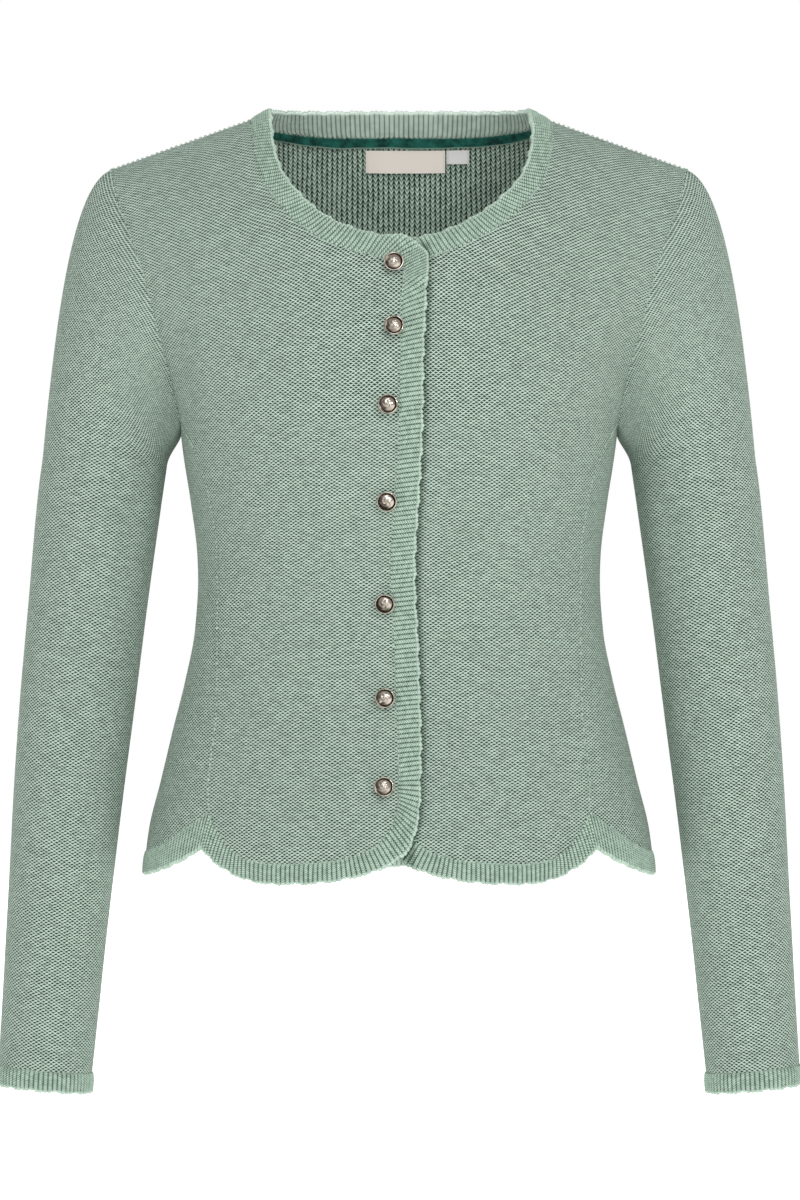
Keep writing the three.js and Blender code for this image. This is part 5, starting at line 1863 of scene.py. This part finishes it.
@dataclass
class Studio:
    """Pale floor, soft lights and the camera, in metres."""

    camera_distance: float = 4.0
    frame_width: float = 0.52
    camera_height: float = -0.312
    camera_side: float = 0.00065
    floor_height: float = -0.665
    floor_half: float = 12.0
    ambient: float = 0.36
    ambient_front: float = 0.36
    # name, place, side and watts of each lamp
    lamps: tuple[tuple[str, tuple[float, float, float], float, float], ...] = (
        ("key_light", (1.7, -3.1, 1.5), 1.1, 44), ("fill_light", (-2.2, -3.0, 0.4), 2.0, 16),
        ("back_light", (-0.6, 3.4, 1.2), 2.4, 40), ("top_light", (0.0, -2.2, 2.6), 1.8, 26),
    )

    def camera(self) -> None:
        """Stand the camera level, straight in front of the jacket."""
        data = bpy.data.cameras.new("studio_camera")
        data.sensor_fit, data.sensor_width = "HORIZONTAL", 36.0
        data.lens = 36.0 * self.camera_distance / self.frame_width
        data.clip_end = 100.0
        camera = bpy.data.objects.new("studio_camera", data)
        camera.location = (self.camera_side, -self.camera_distance, self.camera_height)
        camera.rotation_euler = (math.pi / 2, 0, 0)
        bpy.context.collection.objects.link(camera)
        bpy.context.scene.camera = camera

    def light(self, name: str, place: tuple[float, float, float], size: float, power: float) -> None:
        """A square soft light that faces the jacket.

        Args:
            name: the light's name.
            place: where it stands.
            size: its side.
            power: in watts.
        """
        data = bpy.data.lights.new(name, "AREA")
        data.shape, data.size, data.energy = "SQUARE", size, power
        light = bpy.data.objects.new(name, data)
        light.location = place
        aim = Vector((0, 0, self.camera_height)) - Vector(place)
        light.rotation_euler = aim.to_track_quat("-Z", "Y").to_euler()
        bpy.context.collection.objects.link(light)

    def floor(self) -> None:
        """A plain pale floor."""
        half = self.floor_half
        corners = [(-half, -half), (half, -half), (half, half), (-half, half)]
        points = np.array([(x, y, self.floor_height) for x, y in corners]) / MM
        material, _, shader = new_material("matt white studio board")
        shader.inputs["Base Color"].default_value = linear("fafaf8")
        shader.inputs["Roughness"].default_value = 0.9
        shader.inputs["Emission Color"].default_value = linear("ffffff")
        shader.inputs["Emission Strength"].default_value = 0.62
        floor = build_mesh("studio_floor", points, np.array([[0, 1, 2, 3]]), None, None, [material])

    def build(self) -> None:
        """Set up the floor, the surrounding light, the lamps and the camera."""
        scene = bpy.context.scene
        scene.view_settings.view_transform = "Standard"
        world = bpy.data.worlds.new("white_studio")
        scene.world, world.use_nodes = world, True
        tree = world.node_tree
        tree.nodes.clear()
        path = add_node(tree, "LightPath")
        # The soft light round the jacket is stronger from the front than from behind
        place = add_node(tree, "TexCoord")
        split = add_node(tree, "SeparateXYZ", {0: place.outputs["Generated"]})
        front = add_node(tree, "Math", {0: split.outputs[1], 1: -self.ambient_front},
                         operation="MULTIPLY")
        front = add_node(tree, "Math", {0: front, 1: 0.0}, operation="MAXIMUM")
        strength = add_node(tree, "Math", {0: front, 1: self.ambient}, operation="ADD")
        dim = add_node(tree, "Background", {1: strength})
        dim.inputs[0].default_value = linear("ffffff")
        white = add_node(tree, "Background", {1: 1.0})
        white.inputs[0].default_value = linear("ffffff")
        both = add_node(tree, "MixShader", {0: path.outputs["Is Camera Ray"], 1: dim, 2: white})
        add_node(tree, "OutputWorld", {0: both})
        self.floor()
        for lamp in self.lamps:
            self.light(*lamp)
        self.camera()


def main() -> None:
    """Build the jacket from its sub-assemblies, dress it and set up the studio."""
    logging.basicConfig(level=logging.INFO, format="%(message)s", stream=sys.stdout)
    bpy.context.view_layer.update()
    purl = KnitFinish("cotton melange, machine knitted, purl side", KnitFace.PURL, 3.4, 1.1,
                      "c6d8cb", "879b8e", "44574b", "1b2721").material()
    # Painted light: the plain side, inside the jacket, is given lighter colours than the purl side of the
    # same yarn, to make up for the dimmer light there
    plain = KnitFinish("cotton melange, machine knitted, plain side", KnitFace.PLAIN, 3.5, 2.4,
                       "d8e9dc", "a2b8a8", "4c6054", "151f1a", melange=0.2).material()
    rib = KnitFinish("cotton melange, rib knitted", KnitFace.RIB, 3.0, 1.5,
                     "bacdbf", "879d8e", "53685a", "2c3d33", 0.35, 0.3).material()
    # Painted light: the rib's inner side is given lighter colours than its outer side, to make up for the
    # dimmer light there
    rib_inside = KnitFinish("cotton melange, rib knitted, inner side", KnitFace.RIB, 3.0, 1.8,
                            "e0eee3", "b4c8b9", "667c6f", "2f4037", 0.35, 0.3).material()
    form = TorsoForm()
    panels = BodyPanels(form)
    panels.build(purl, plain)
    trims = RibTrims(form, panels)
    trims.build(rib, rib_inside)
    for hand, folds in SLEEVE_FOLDS.items():
        sleeve = Sleeve(form, panels, hand, folds)
        sleeve.build(purl, plain, rib, rib_inside)
    SeamStitching(form, trims, sleeve).build(YarnFinish().material())
    NeckFinish(form, panels).build(
        VelvetFinish().material(),
        WovenFinish("polyester label satin, woven", "fff6ee", "f6e9de", 52.5).material(),
        WovenFinish("polyester tab satin, woven", "fbfaf8", "d4d3cf", 15.0).material(),
    )
    ShankButtons(form).build(AgedSilverFinish().material())
    Studio().build()


if __name__ == "__main__":
    main()
